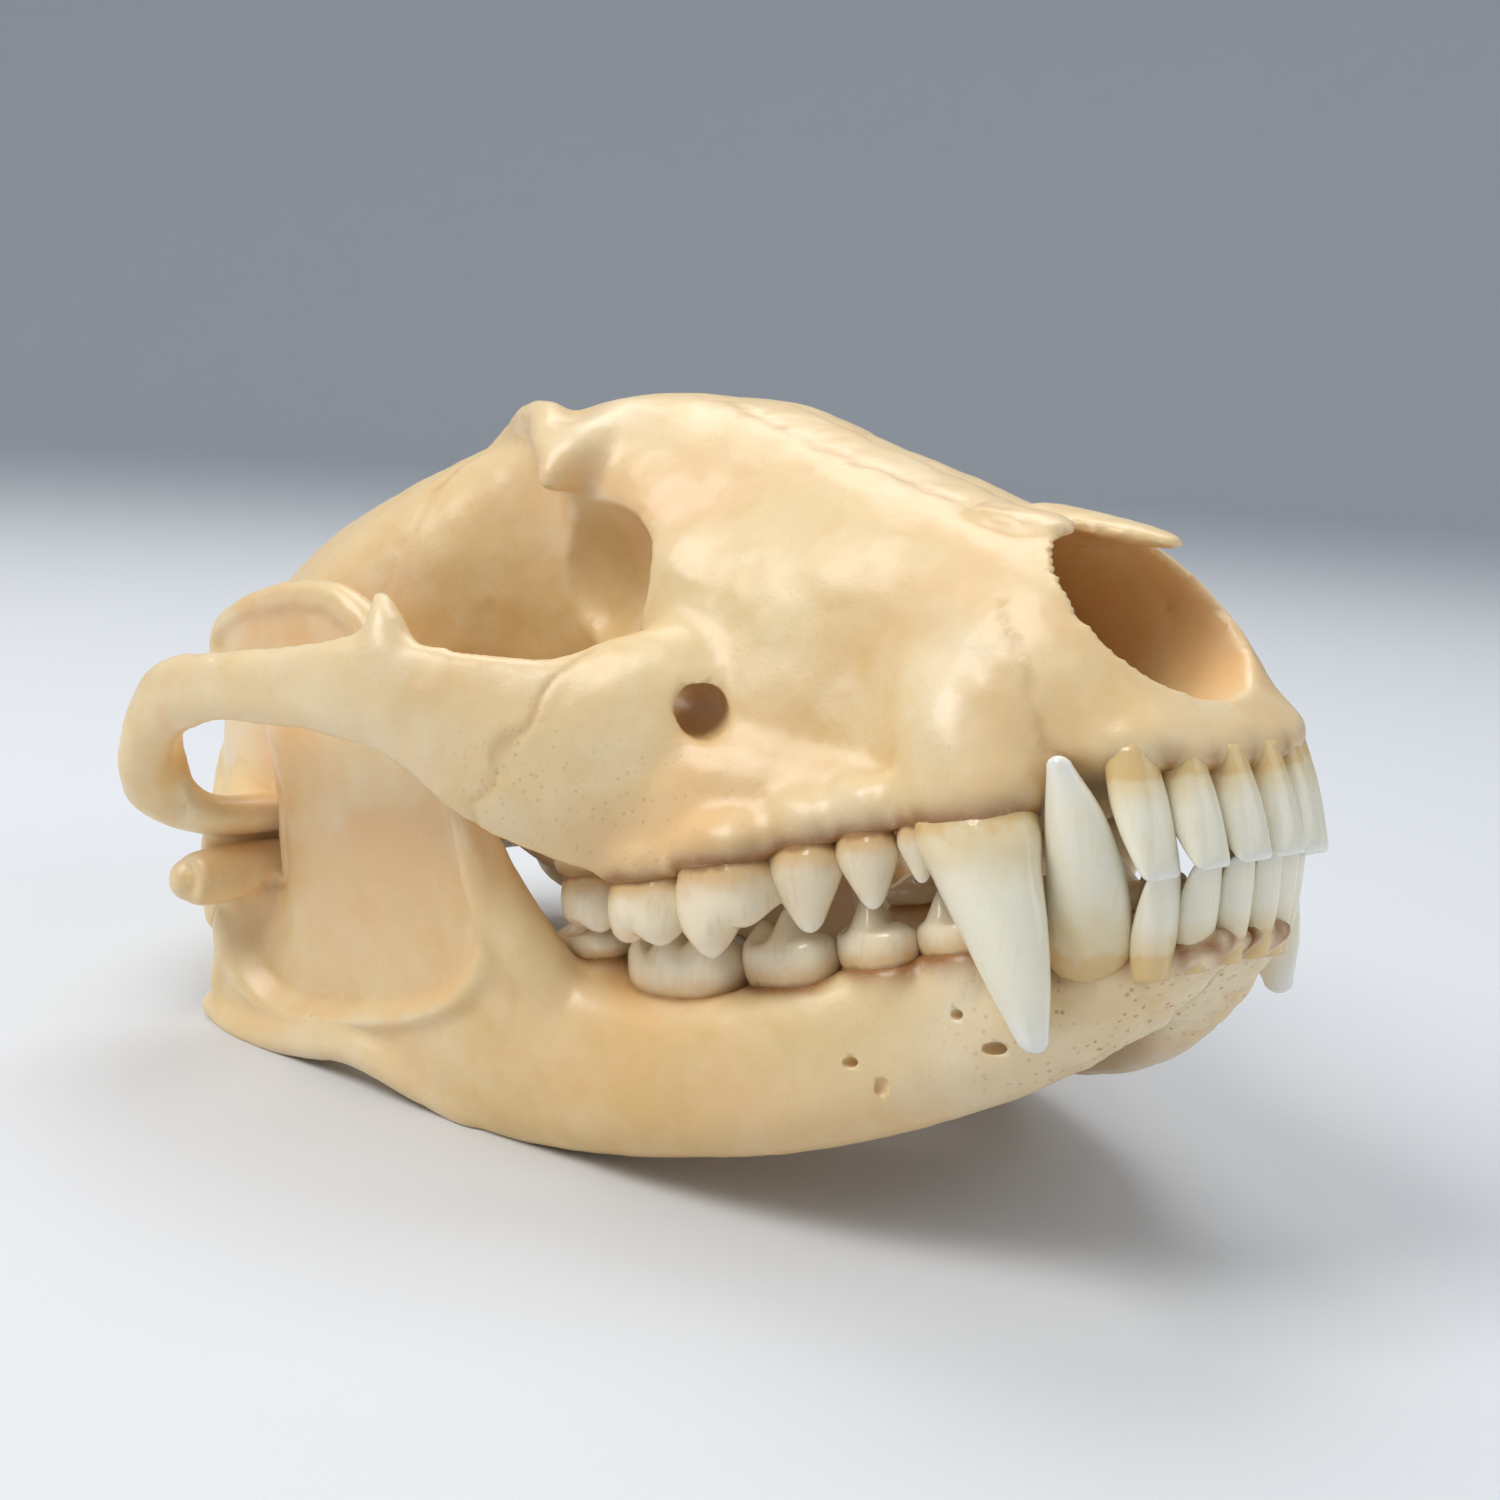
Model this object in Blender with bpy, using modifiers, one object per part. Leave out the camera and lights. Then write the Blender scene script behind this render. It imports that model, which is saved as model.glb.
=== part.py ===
"""Raccoon skull, life size, resting on its lower jaw with the mouth closed.

Shapes are given in the skull's own frame, in millimetres: +X to the snout, +Z up, X = 0 at the back of
the head and Z = 0 at the upper tooth sockets.  Paired pieces are given for the right side, at -Y.
An empty then tips the nose up, until the jaw rests on the floor as a real one does.
"""

import math

import bmesh
import bpy
import numpy as np
from mathutils import Matrix, Vector

MM = 0.001
NOSE_UP = math.radians(15.5)
FLOOR_DEPTH = 4.5  # the floor, below the skull frame's origin and square to the tipped axis
JOINT_GAP = 0.35  # clear space between neighbouring bones
RIGHT, LEFT = -1.0, 1.0

CLAY_VOXEL = 0.9
CLAY_SMOOTHING = 5
SKULL_TRIANGLES = 6000
MANDIBLE_TRIANGLES = 1300
TOOTH_SIDES = 6
INCISOR_SIDES = 8
FANG_SIDES = 10

BONE_COLOUR = (0.80, 0.62, 0.38, 1.0)
BONE_ROUGHNESS = 0.45
SHARP_ANGLE = math.radians(50.0)

# Braincase, forehead and snout.  Each section is a pair of half ovals that meet at the widest level:
# x, half width, level of the widest, top, bottom, fullness of the upper half, fullness of the lower half.
CASE_SECTIONS = (
    (0.5, 11.5, 12.5, 22.0, 4.0, 2.0, 2.4),
    (5.0, 17.8, 13.0, 27.2, 2.0, 2.0, 2.6),
    (13.0, 22.2, 13.5, 32.2, 1.5, 2.0, 2.6),
    (24.0, 24.0, 15.0, 35.4, 1.0, 2.05, 2.6),
    (34.0, 23.4, 17.5, 36.2, 1.5, 2.1, 2.4),
    (43.0, 19.6, 21.0, 36.7, 2.5, 2.3, 2.2),
    (50.0, 14.6, 26.5, 36.7, 3.0, 2.6, 2.0),
    (56.0, 12.0, 30.5, 36.4, 2.5, 3.0, 2.0),
    (62.0, 13.4, 28.5, 35.7, 2.0, 3.0, 2.2),
    (68.0, 14.0, 22.5, 34.3, 1.5, 2.4, 2.6),
    (74.0, 17.2, 8.0, 32.2, -1.0, 1.9, 3.0),
    (79.0, 17.6, 4.0, 29.3, -1.6, 1.8, 3.0),
    (86.0, 15.4, 3.0, 25.3, -1.2, 1.9, 3.0),
    (92.0, 13.2, 3.5, 21.8, -0.6, 2.1, 3.0),
    (98.0, 12.4, 4.0, 18.7, -0.4, 2.2, 2.6),
    (102.5, 11.3, 4.0, 16.8, 0.0, 2.2, 2.4),
    (105.5, 10.2, 3.6, 13.4, 0.2, 2.2, 2.4),
    (108.0, 9.0, 2.6, 8.4, 0.3, 2.2, 2.2),
    (110.0, 7.4, 2.0, 4.8, 0.4, 2.2, 2.0),
    (111.3, 4.6, 1.6, 3.0, 0.6, 2.0, 2.0),
)

# Bars of oval section.  Each station is x, y, z, half size across, half size up.
CHEEK_ROOT = (
    (80.0, -11.0, 7.5, 4.5, 7.5),
    (76.0, -15.5, 7.0, 4.6, 8.6),
    (72.5, -19.5, 6.6, 4.0, 8.4),
    (70.0, -23.0, 6.6, 3.0, 7.6),
    (65.0, -28.3, 9.4, 1.9, 6.4),
    (61.0, -31.0, 12.7, 1.7, 5.0),
    (56.0, -33.0, 14.0, 1.7, 3.8),
    (50.0, -34.6, 15.0, 1.7, 3.1),
    (43.0, -36.0, 16.0, 1.8, 2.9),
    (36.0, -36.8, 15.8, 1.9, 3.4),
    (30.5, -36.2, 13.4, 2.4, 3.9),
    (27.2, -34.6, 9.8, 3.5, 3.5),
    (27.8, -31.4, 6.9, 3.9, 1.9),
    (28.4, -28.0, 6.4, 4.2, 1.7),
    (28.4, -23.0, 6.8, 4.8, 2.1),
    (28.4, -16.0, 8.0, 5.4, 3.6),
)
TOOTH_BED = (
    (61.5, -17.2, 1.0, 2.8, 1.6),
    (65.0, -17.4, 1.0, 4.0, 3.2),
    (71.0, -17.2, 0.6, 4.4, 3.6),
    (78.0, -16.4, 0.4, 4.4, 3.4),
    (85.0, -13.6, 0.6, 3.8, 3.0),
)
CANINE_SOCKET = (
    (101.2, -10.4, 0.6, 2.8, 3.9),
    (99.8, -10.4, 4.6, 2.8, 3.6),
    (97.0, -9.8, 9.4, 2.4, 3.0),
    (93.0, -8.4, 13.0, 1.8, 2.2),
)
PTERYGOID_PLATE = (
    (67.0, -8.6, 1.8, 1.5, 2.2),
    (58.0, -6.8, 0.6, 1.2, 3.4),
    (50.0, -6.6, 0.0, 1.1, 3.6),
    (43.0, -6.4, 1.4, 1.1, 3.4),
    (38.0, -6.6, 3.0, 1.4, 2.4),
)

# Round ridges and prongs.  Each point is x, y, z, radius.
CHEEK_PRONG = ((61.8, -30.2, 12.0, 2.4), (60.8, -30.4, 17.2, 1.8), (59.6, -30.0, 20.2, 1.0))
BROW_PRONG = ((62.6, -8.5, 31.6, 3.4), (63.2, -13.6, 30.0, 2.6), (63.2, -16.4, 28.4, 1.3))
MASTOID = (
    (18.0, -19.0, 8.0, 5.4),
    (16.4, -23.2, 3.4, 4.6),
    (14.8, -26.0, -1.0, 3.2),
    (14.4, -26.8, -2.8, 2.2),
)
JUGULAR_PRONG = ((10.0, -14.0, 6.0, 4.0), (9.0, -17.0, 0.6, 3.0), (8.6, -18.2, -1.6, 2.0))
NAPE_CREST = (
    (2.0, 2.0, 23.6, 1.4),
    (2.2, -6.0, 22.9, 1.4),
    (3.8, -13.0, 19.4, 1.4),
    (7.0, -18.6, 13.5, 1.5),
    (11.5, -22.2, 7.5, 1.7),
)
TEMPLE_RIDGE = (
    (63.0, -15.8, 29.4, 1.4),
    (60.4, -14.2, 32.0, 1.8),
    (57.4, -12.2, 34.4, 1.7),
    (52.0, -10.4, 35.8, 1.3),
    (44.0, -7.0, 36.6, 1.0),
    (34.0, -3.4, 36.2, 1.0),
    (24.0, 0.0, 35.2, 1.0),
)

# Rounded lumps: x, y, z and the three half sizes.
EAR_BUBBLE = (21.6, -12.6, 0.8, 8.0, 5.8, 5.6)
EAR_TUBE = (20.4, -18.6, 3.2, 3.4, 5.0, 3.2)
NECK_KNOB = (2.6, -7.0, 5.2, 4.2, 3.4, 5.0)
JAW_STOP = (23.4, -25.0, 3.4, 1.9, 5.4, 4.6)
CORONOID_TIP = (34.6, -28.1, 19.4, 6.4, 1.4, 3.9)

# What is cut out of the cranium: rounded lumps again, and round bores as x, y, z, radius.
BRAIN = (28.0, 0.0, 19.0, 21.5, 19.6, 15.4)
BRAIN_FRONT = (46.0, 0.0, 24.0, 11.0, 9.8, 9.0)
ORBIT = (63.0, -19.0, 20.2, 10.5, 10.0, 7.6)
SPINE_HOLE = ((-4.0, 0.0, 10.4, 6.6), (4.0, 0.0, 10.6, 6.4), (14.0, 0.0, 12.4, 6.8))
NOSE_HOLLOW = (
    (116.0, 0.0, 11.6, 7.0, 6.4),
    (107.0, 0.0, 11.4, 7.2, 6.4),
    (101.0, 0.0, 11.0, 7.2, 6.9),
    (94.0, 0.0, 10.6, 6.8, 7.0),
    (86.0, 0.0, 11.0, 5.4, 6.0),
)
THROAT_HOLLOW = (
    (36.0, 0.0, -1.6, 3.6),
    (46.0, 0.0, 2.4, 4.0),
    (54.0, 0.0, 6.0, 4.0),
    (62.0, 0.0, 8.0, 3.4),
)
CHEEK_CANAL = (
    (84.0, -20.0, 7.8, 2.3),
    (79.6, -17.2, 8.9, 2.2),
    (75.0, -14.8, 10.2, 2.2),
    (66.0, -13.0, 12.6, 2.6),
)
EAR_HOLE = ((19.6, -27.0, 3.2, 2.2), (20.4, -19.0, 2.6, 2.1), (21.0, -15.0, 2.2, 2.0))

# The cheek arch is a piece of its own inside this box, which lies outside the braincase.
ARCH_BACK_X, ARCH_FRONT_X = 17.5, 66.6
ARCH_INNER_Y, ARCH_OUTER_Y = 26.6, 60.0
ARCH_LOW_Z, ARCH_HIGH_Z = -4.0, 26.0

# The lower jaw's body: x, y, z of the underside, z of the tooth sockets, half thickness.
JAW_BODY = (
    (47.0, -25.2, -15.2, -1.0, 1.8),
    (51.0, -24.0, -18.6, -1.0, 2.4),
    (56.0, -22.4, -20.7, -3.0, 3.0),
    (63.0, -20.0, -21.8, -7.4, 3.6),
    (70.0, -18.2, -22.1, -10.2, 4.0),
    (78.0, -16.2, -22.0, -10.6, 4.1),
    (86.0, -13.4, -21.2, -9.8, 4.0),
    (92.0, -10.2, -19.9, -8.8, 4.0),
    (97.0, -7.0, -18.3, -8.4, 4.7),
    (102.0, -4.2, -15.6, -9.4, 4.9),
    (106.0, -2.8, -12.8, -9.2, 3.9),
    (108.6, -2.2, -10.9, -8.8, 3.0),
    (109.8, -1.8, -10.1, -8.9, 2.2),
)
# The jaw's rear plate: x, lower edge, upper edge, y at the lower edge, y at the upper edge, half thickness.
JAW_PLATE = (
    (22.4, -10.6, -8.0, -29.0, -28.8, 1.0),
    (25.0, -12.2, -2.5, -28.9, -28.4, 1.3),
    (28.6, -12.9, 0.6, -28.2, -27.4, 1.4),
    (32.5, -13.3, 2.4, -27.4, -26.8, 1.3),
    (36.6, -13.6, 21.6, -26.8, -28.2, 1.2),
    (41.0, -13.9, 22.8, -26.4, -28.2, 1.2),
    (46.0, -15.0, 22.2, -25.8, -27.8, 1.3),
    (51.0, -18.4, 20.0, -24.6, -27.0, 1.4),
    (54.6, -19.6, 14.4, -23.6, -26.0, 1.5),
    (58.0, -20.6, 4.0, -22.6, -24.6, 1.7),
    (61.6, -21.2, -3.0, -21.0, -23.4, 1.9),
)
CORONOID_EDGE = (
    (36.4, -26.6, 3.4, 1.4),
    (37.0, -26.9, 9.0, 1.3),
    (36.4, -27.5, 14.0, 1.3),
    (32.4, -28.0, 17.4, 1.3),
    (28.4, -28.4, 20.0, 1.3),
    (30.4, -28.5, 22.4, 1.3),
    (36.0, -28.5, 23.2, 1.3),
    (43.0, -28.2, 23.0, 1.3),
    (49.6, -27.4, 21.2, 1.4),
    (54.0, -26.2, 15.6, 1.6),
    (57.0, -25.0, 8.6, 1.7),
    (59.6, -24.4, 1.4, 2.0),
    (62.0, -23.0, -5.0, 2.3),
    (64.0, -20.6, -11.0, 2.6),
)
JAW_ANGLE = (
    (21.6, -29.4, -9.6, 1.4),
    (27.0, -29.4, -11.7, 1.5),
    (34.0, -28.4, -12.8, 1.5),
    (42.0, -27.0, -13.4, 1.6),
    (48.0, -25.4, -15.8, 1.7),
    (54.0, -23.4, -18.6, 1.8),
)
CONDYLE = (
    (28.2, -32.6, 1.4, 2.4),
    (28.5, -29.0, 1.6, 2.6),
    (28.8, -24.0, 1.4, 2.6),
    (29.2, -18.8, 1.1, 2.2),
)
CONDYLE_NECK = ((29.0, -28.0, 0.4, 1.9), (25.8, -28.8, -3.6, 1.6), (23.6, -29.2, -7.6, 1.5))

# Each half of the lower jaw ends at the midline, and both are cut level where they rest on the floor.
CHIN_BACK_X, CHIN_FRONT_X = 90.0, 120.0
CHIN_LOW_Z, CHIN_HIGH_Z = -30.0, 10.0
CHIN_REACH = 20.0
FLOOR_BACK_X, FLOOR_FRONT_X = -60.0, 160.0
FLOOR_HALF_WIDTH = 60.0
FLOOR_THICKNESS = 40.0

# Fangs, from root to tip: x, y, z, half length, half width.
UPPER_CANINE = (
    (96.6, -10.4, 6.0, 3.2, 2.3),
    (98.9, -12.0, -0.6, 4.3, 3.3),
    (100.1, -12.6, -4.0, 3.6, 2.6),
    (101.2, -12.8, -7.4, 2.8, 2.0),
    (101.7, -12.8, -11.2, 1.8, 1.3),
    (101.6, -12.6, -14.7, 0.6, 0.6),
)
LOWER_CANINE = (
    (99.6, -5.0, -15.0, 2.2, 1.9),
    (102.3, -6.8, -9.8, 2.7, 2.2),
    (104.4, -8.8, -4.2, 2.4, 2.0),
    (105.0, -10.0, -0.9, 1.8, 1.5),
    (105.4, -11.2, 2.5, 0.55, 0.55),
)
# Incisors: x, y, z at the socket, x, y, z of the biting edge, half width, half depth.
UPPER_INCISORS = (
    (110.6, -1.6, 0.6, 111.6, -1.6, -4.9, 1.45, 1.5),
    (109.6, -4.6, 0.8, 110.7, -4.5, -5.0, 1.45, 1.6),
    (107.6, -6.9, 1.2, 108.6, -6.9, -5.4, 1.5, 1.4),
)
LOWER_INCISORS = (
    (108.4, -1.35, -9.4, 109.9, -1.3, -5.6, 0.95, 1.1),
    (107.4, -3.5, -9.6, 109.2, -3.5, -5.8, 1.0, 1.2),
    (105.9, -5.3, -9.9, 107.6, -5.7, -6.1, 1.1, 1.2),
)
# Cheek teeth: x, y, z at the socket, half length, half width, then each cusp as dx, dy, z of its tip.
UPPER_CHEEK_TEETH = (
    (95.3, -13.2, -0.6, 1.2, 1.1, ((0.0, -0.2, -4.2),)),
    (92.2, -14.2, -0.8, 2.3, 1.4, ((0.2, -0.2, -5.6),)),
    (88.0, -15.8, -1.2, 2.7, 1.8, ((0.2, -0.2, -6.6),)),
    (82.0, -17.6, -1.8, 4.0, 3.4,
     ((-0.6, -2.2, -7.8), (2.4, -1.8, -5.6), (-2.8, -1.9, -6.2), (0.4, 1.9, -4.6))),
    (74.4, -18.0, -2.4, 4.0, 3.7,
     ((1.8, -2.3, -6.9), (-1.8, -2.3, -6.5), (0.8, 1.9, -4.8), (-1.8, 1.6, -4.6))),
    (67.2, -17.8, -1.8, 3.1, 3.4, ((1.1, -1.9, -5.8), (-1.4, -1.7, -5.2), (0.0, 1.5, -4.2))),
)
LOWER_CHEEK_TEETH = (
    (98.2, -8.2, -8.6, 0.9, 0.8, ((0.0, 0.0, -6.2),)),
    (93.8, -10.2, -8.8, 2.4, 1.2, ((-0.8, 0.0, -4.9), (1.4, 0.0, -7.0))),
    (89.2, -11.9, -9.4, 3.0, 1.5, ((-1.2, 0.0, -3.8), (1.6, 0.0, -7.2))),
    (83.2, -13.4, -10.2, 4.0, 1.9, ((-1.8, 0.0, -5.6), (1.8, 0.0, -7.4))),
    (73.4, -15.4, -10.8, 5.4, 2.3,
     ((3.2, -0.2, -6.6), (-0.4, -0.9, -6.8), (-3.4, -0.7, -7.0), (0.6, 1.0, -6.6))),
    (63.8, -17.2, -7.6, 3.8, 2.0, ((1.8, 0.0, -5.4), (-1.8, 0.0, -5.3))),
)
# Heights above the socket and widths, as shares, from the sunk root of a tooth up to its tip.
CROWN_SHAPE = ((-0.6, 0.80), (0.0, 0.88), (0.45, 1.0), (0.75, 0.84))
CUSP_SHAPE = ((-0.5, 0.85), (0.35, 1.0), (0.72, 0.66), (1.0, 0.16))
CUSP_SHARE = 0.48  # how much of a broad crown's width one of its cusps takes
# An incisor from its sunk root to its edge: shares of its height, half width and half depth.
INCISOR_SHAPE = ((-0.55, 0.75, 0.9), (0.0, 0.85, 1.0), (0.45, 1.0, 0.9), (0.85, 0.95, 0.5), (1.0, 0.8, 0.3))
INCISOR_LEAN = 0.4  # how far its section sits behind its own line, as a share of the half depth


def smooth_path(points, per_span):
    """A smooth curve through the rows of points, with so many samples for each span."""
    points = np.asarray(points, float)
    padded = np.vstack([2 * points[0] - points[1], points, 2 * points[-1] - points[-2]])
    t = np.linspace(0, 1, per_span, endpoint=False)[:, None]
    rows = []
    for a, b, c, d in zip(padded[:-3], padded[1:-2], padded[2:-1], padded[3:]):
        bend = 2 * a - 5 * b + 4 * c - d
        twist = 3 * b - a - 3 * c + d
        rows.append(0.5 * (2 * b + (c - a) * t + bend * t**2 + twist * t**3))
    rows.append(points[-1][None])
    return np.vstack(rows)


def full_turn(sides):
    """Angles once round a section."""
    return np.linspace(0, 2 * math.pi, sides, endpoint=False)


def rounded(wave, fullness):
    """A cosine or sine made fuller, so that an oval turns towards a rounded box."""
    return np.sign(wave) * np.abs(wave) ** (2 / fullness)


def loft(name, rings, side=RIGHT):
    """A closed skin over a stack of rings in millimetres, for one side of the head."""
    rings = rings * (1, -side, 1)
    count, sides = rings.shape[:2]
    mesh = bmesh.new()
    verts = [[mesh.verts.new(point * MM) for point in ring] for ring in rings]
    for lower, upper in zip(verts[:-1], verts[1:]):
        for j in range(sides):
            k = (j + 1) % sides
            mesh.faces.new((lower[j], lower[k], upper[k], upper[j]))
    mesh.faces.new(verts[0])
    mesh.faces.new(verts[-1])
    return finish_mesh(name, mesh)


def finish_mesh(name, mesh):
    """An object from a bmesh, its flat caps cut into triangles and its faces turned outwards."""
    bmesh.ops.triangulate(mesh, faces=[face for face in mesh.faces if len(face.verts) > 4])
    bmesh.ops.recalc_face_normals(mesh, faces=mesh.faces)
    data = bpy.data.meshes.new(name)
    mesh.to_mesh(data)
    mesh.free()
    made = bpy.data.objects.new(name, data)
    bpy.context.scene.collection.objects.link(made)
    return made


def case_body():
    """The braincase, forehead and snout, as two half ovals a section."""
    x, wide, level, top, bottom, upper, lower = smooth_path(CASE_SECTIONS, 4).T[:, :, None]
    turn = full_turn(40)
    rises = np.sin(turn) >= 0
    fullness = np.where(rises, upper, lower)
    reach = np.where(rises, top - level, level - bottom)
    y = wide * rounded(np.cos(turn), fullness)
    z = level + reach * rounded(np.sin(turn), fullness)
    return loft("case", np.stack([x + 0 * y, y, z], axis=2))


def oval_bar(name, stations, side=RIGHT, sides=14):
    """A bar of oval section whose wide way stays level and square to its path."""
    rows = smooth_path(stations, 4)
    path, across, up = rows[:, :3], rows[:, 3:4], rows[:, 4:5]
    ahead = np.gradient(path, axis=0)
    ahead[:, 2] = 0.0
    ahead /= np.linalg.norm(ahead, axis=1)[:, None]
    level = np.cross(ahead, (0.0, 0.0, 1.0))
    turn = full_turn(sides)
    rings = path[:, None] + (level * across)[:, None] * np.cos(turn)[:, None]
    rings[:, :, 2] += up * np.sin(turn)
    return loft(name, rings, side)


def leaning_bar(name, stations, side=RIGHT, sides=12):
    """A bar that climbs or falls, cut square to Z: x, y, z, half length and half width at each level."""
    x, y, z, long, wide = smooth_path(stations, 2).T[:, :, None]
    turn = full_turn(sides)
    along = x + long * np.cos(turn)
    return loft(name, np.stack([along, y + wide * np.sin(turn), z + 0 * along], axis=2), side)


def jaw_body(side):
    """The tooth bearing part of the lower jaw, an upright rounded box that tapers to the chin."""
    x, y, low, high, half = smooth_path(JAW_BODY, 4).T[:, :, None]
    turn = full_turn(16)
    across = y + half * rounded(np.cos(turn), 2.6)
    rise = (low + high) / 2 + (high - low) / 2 * rounded(np.sin(turn), 2.6)
    return loft("body", np.stack([x + 0 * across, across, rise], axis=2), side)


def jaw_plate(side):
    """The thin rear plate of the lower jaw, rounded at its edges."""
    x, low, high, y_low, y_high, half = smooth_path(JAW_PLATE, 3).T[:, :, None]
    turn = full_turn(20)
    rise = (1 + rounded(np.sin(turn), 2.0)) / 2
    across = y_low + (y_high - y_low) * rise + half * rounded(np.cos(turn), 3.0)
    return loft("plate", np.stack([x + 0 * across, across, low + (high - low) * rise], axis=2), side)


def round_bar(name, points, side=RIGHT):
    """A ridge, prong or bore as a bevelled curve with its own radius at each point, made a closed mesh."""
    curve = bpy.data.curves.new(name, "CURVE")
    curve.dimensions = "3D"
    curve.bevel_depth = MM
    curve.bevel_resolution = 2
    curve.resolution_u = 4
    curve.use_fill_caps = True
    spline = curve.splines.new("BEZIER")
    spline.bezier_points.add(len(points) - 1)
    for knot, (x, y, z, radius) in zip(spline.bezier_points, points):
        knot.co = Vector((x, -side * y, z)) * MM
        knot.radius = radius
        knot.handle_left_type = knot.handle_right_type = "AUTO"
    bar = bpy.data.objects.new(name, curve)
    bpy.context.scene.collection.objects.link(bar)
    bpy.context.view_layer.update()
    graph = bpy.context.evaluated_depsgraph_get()
    data = bpy.data.meshes.new_from_object(bar.evaluated_get(graph))
    bpy.data.objects.remove(bar)
    mesh = bmesh.new()
    mesh.from_mesh(data)
    bmesh.ops.remove_doubles(mesh, verts=mesh.verts, dist=0.01 * MM)
    return finish_mesh(name, mesh)


def lump(name, shape, side=RIGHT):
    """An ellipsoid with its own three half sizes."""
    x, y, z, *half_sizes = shape
    mesh = bmesh.new()
    stretch = Matrix.Diagonal((*(Vector(half_sizes) * MM), 1.0))
    placed = Matrix.Translation(Vector((x, -side * y, z)) * MM) @ stretch
    bmesh.ops.create_uvsphere(mesh, u_segments=20, v_segments=12, radius=1.0, matrix=placed)
    return finish_mesh(name, mesh)


def block(name, low, high, turned=Matrix.Identity(4)):
    """A box between two corners in millimetres, then turned about the skull frame's origin."""
    low, high = Vector(low), Vector(high)
    mesh = bmesh.new()
    size = Matrix.Diagonal((*((high - low) * MM), 1.0))
    bmesh.ops.create_cube(mesh, size=1.0, matrix=turned @ Matrix.Translation((low + high) / 2 * MM) @ size)
    return finish_mesh(name, mesh)


def tooth_part(name, place, half_length, half_width, shape, rise, side):
    """Ovals stacked from a sunk root: each share is how far up the tooth, and how wide."""
    x, y, z = place
    height, wide = np.array(shape).T[:, :, None]
    turn = full_turn(TOOTH_SIDES) + math.pi / TOOTH_SIDES
    along = x + half_length * wide * np.cos(turn)
    across = y + half_width * wide * np.sin(turn)
    return loft(name, np.stack([along, across, z + rise * height + 0 * along], axis=2), side)


def cheek_tooth(row, crown, side):
    """A peg with one point, or a broad low crown with a blunt point at each cusp."""
    x, y, z, half_length, half_width, cusps = row
    broad = len(cusps) > 1
    share = CUSP_SHARE if broad else 1.0
    parts = []
    if broad:
        reach = sum(abs(tip - z) for dx, dy, tip in cusps) / len(cusps)
        size = (half_length, half_width)
        parts.append(tooth_part("crown", (x, y, z), *size, CROWN_SHAPE, crown * reach, side))
    for dx, dy, tip in cusps:
        size = (half_length * share, half_width * share)
        parts.append(tooth_part("cusp", (x + dx, y + dy, z), *size, CUSP_SHAPE, tip - z, side))
    return parts


def incisor(row, side):
    """A chisel tooth: an oval root that flattens to a straight biting edge."""
    x0, y0, z0, x1, y1, z1, half_width, half_depth = row
    share, wide, deep = np.array(INCISOR_SHAPE).T[:, :, None]
    turn = full_turn(INCISOR_SIDES) + math.pi / INCISOR_SIDES
    along = x0 + (x1 - x0) * share + half_depth * deep * (np.cos(turn) - INCISOR_LEAN)
    across = y0 + (y1 - y0) * share + half_width * wide * np.sin(turn)
    return loft("incisor", np.stack([along, across, z0 + (z1 - z0) * share + 0 * along], axis=2), side)


def teeth(canine, incisors, cheek_teeth, crown, side):
    """All the teeth that one side of one jaw carries."""
    parts = [leaning_bar("canine", canine, side, sides=FANG_SIDES)]
    parts += [incisor(row, side) for row in incisors]
    for row in cheek_teeth:
        parts += cheek_tooth(row, crown, side)
    return parts


def apply_modifiers(target):
    """The target's mesh becomes what its modifiers make, and the modifiers go."""
    bpy.context.view_layer.update()
    graph = bpy.context.evaluated_depsgraph_get()
    finished = bpy.data.meshes.new_from_object(target.evaluated_get(graph))
    target.modifiers.clear()
    target.data = finished


def cut_or_join(target, cutters, operation, solver="EXACT"):
    """Cuts the cutters from the target, or joins them to it, in one step, and removes them."""
    group = bpy.data.collections.new("cutters")
    bpy.context.scene.collection.children.link(group)
    for cutter in cutters:
        bpy.context.scene.collection.objects.unlink(cutter)
        group.objects.link(cutter)
        cutter.hide_render = True
        cutter.display_type = "WIRE"
    change = target.modifiers.new(operation.lower(), "BOOLEAN")
    change.operation = operation
    change.operand_type = "COLLECTION"
    change.collection = group
    change.solver = solver
    apply_modifiers(target)
    for cutter in list(group.objects):
        bpy.data.objects.remove(cutter)
    bpy.data.collections.remove(group)


def keep_largest(target):
    """Only the largest closed surface of the target stays."""
    mesh = bmesh.new()
    mesh.from_mesh(target.data)
    unseen = set(mesh.verts)
    groups = []
    while unseen:
        waiting = [unseen.pop()]
        group = []
        while waiting:
            vert = waiting.pop()
            group.append(vert)
            near = {edge.other_vert(vert) for edge in vert.link_edges} & unseen
            unseen -= near
            waiting.extend(near)
        groups.append(group)
    groups.sort(key=len)
    loose = [vert for group in groups[:-1] for vert in group]
    bmesh.ops.delete(mesh, geom=loose, context="VERTS")
    mesh.to_mesh(target.data)
    mesh.free()


def fuse(name, pieces):
    """Overlapping pieces become one closed surface, softened where they meet."""
    mesh = bmesh.new()
    for piece in pieces:
        mesh.from_mesh(piece.data)
        bpy.data.objects.remove(piece)
    fused = finish_mesh(name, mesh)
    remesh = fused.modifiers.new("fuse", "REMESH")
    remesh.mode = "VOXEL"
    remesh.voxel_size = CLAY_VOXEL * MM
    soften = fused.modifiers.new("soften", "SMOOTH")
    soften.factor = 0.5
    soften.iterations = CLAY_SMOOTHING
    apply_modifiers(fused)
    keep_largest(fused)
    return fused


def thin(target, triangles):
    """Fewer faces, spent where the surface bends."""
    now = sum(len(face.vertices) - 2 for face in target.data.polygons)
    fewer = target.modifiers.new("thin", "DECIMATE")
    fewer.ratio = min(1.0, triangles / now)
    apply_modifiers(target)


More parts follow.
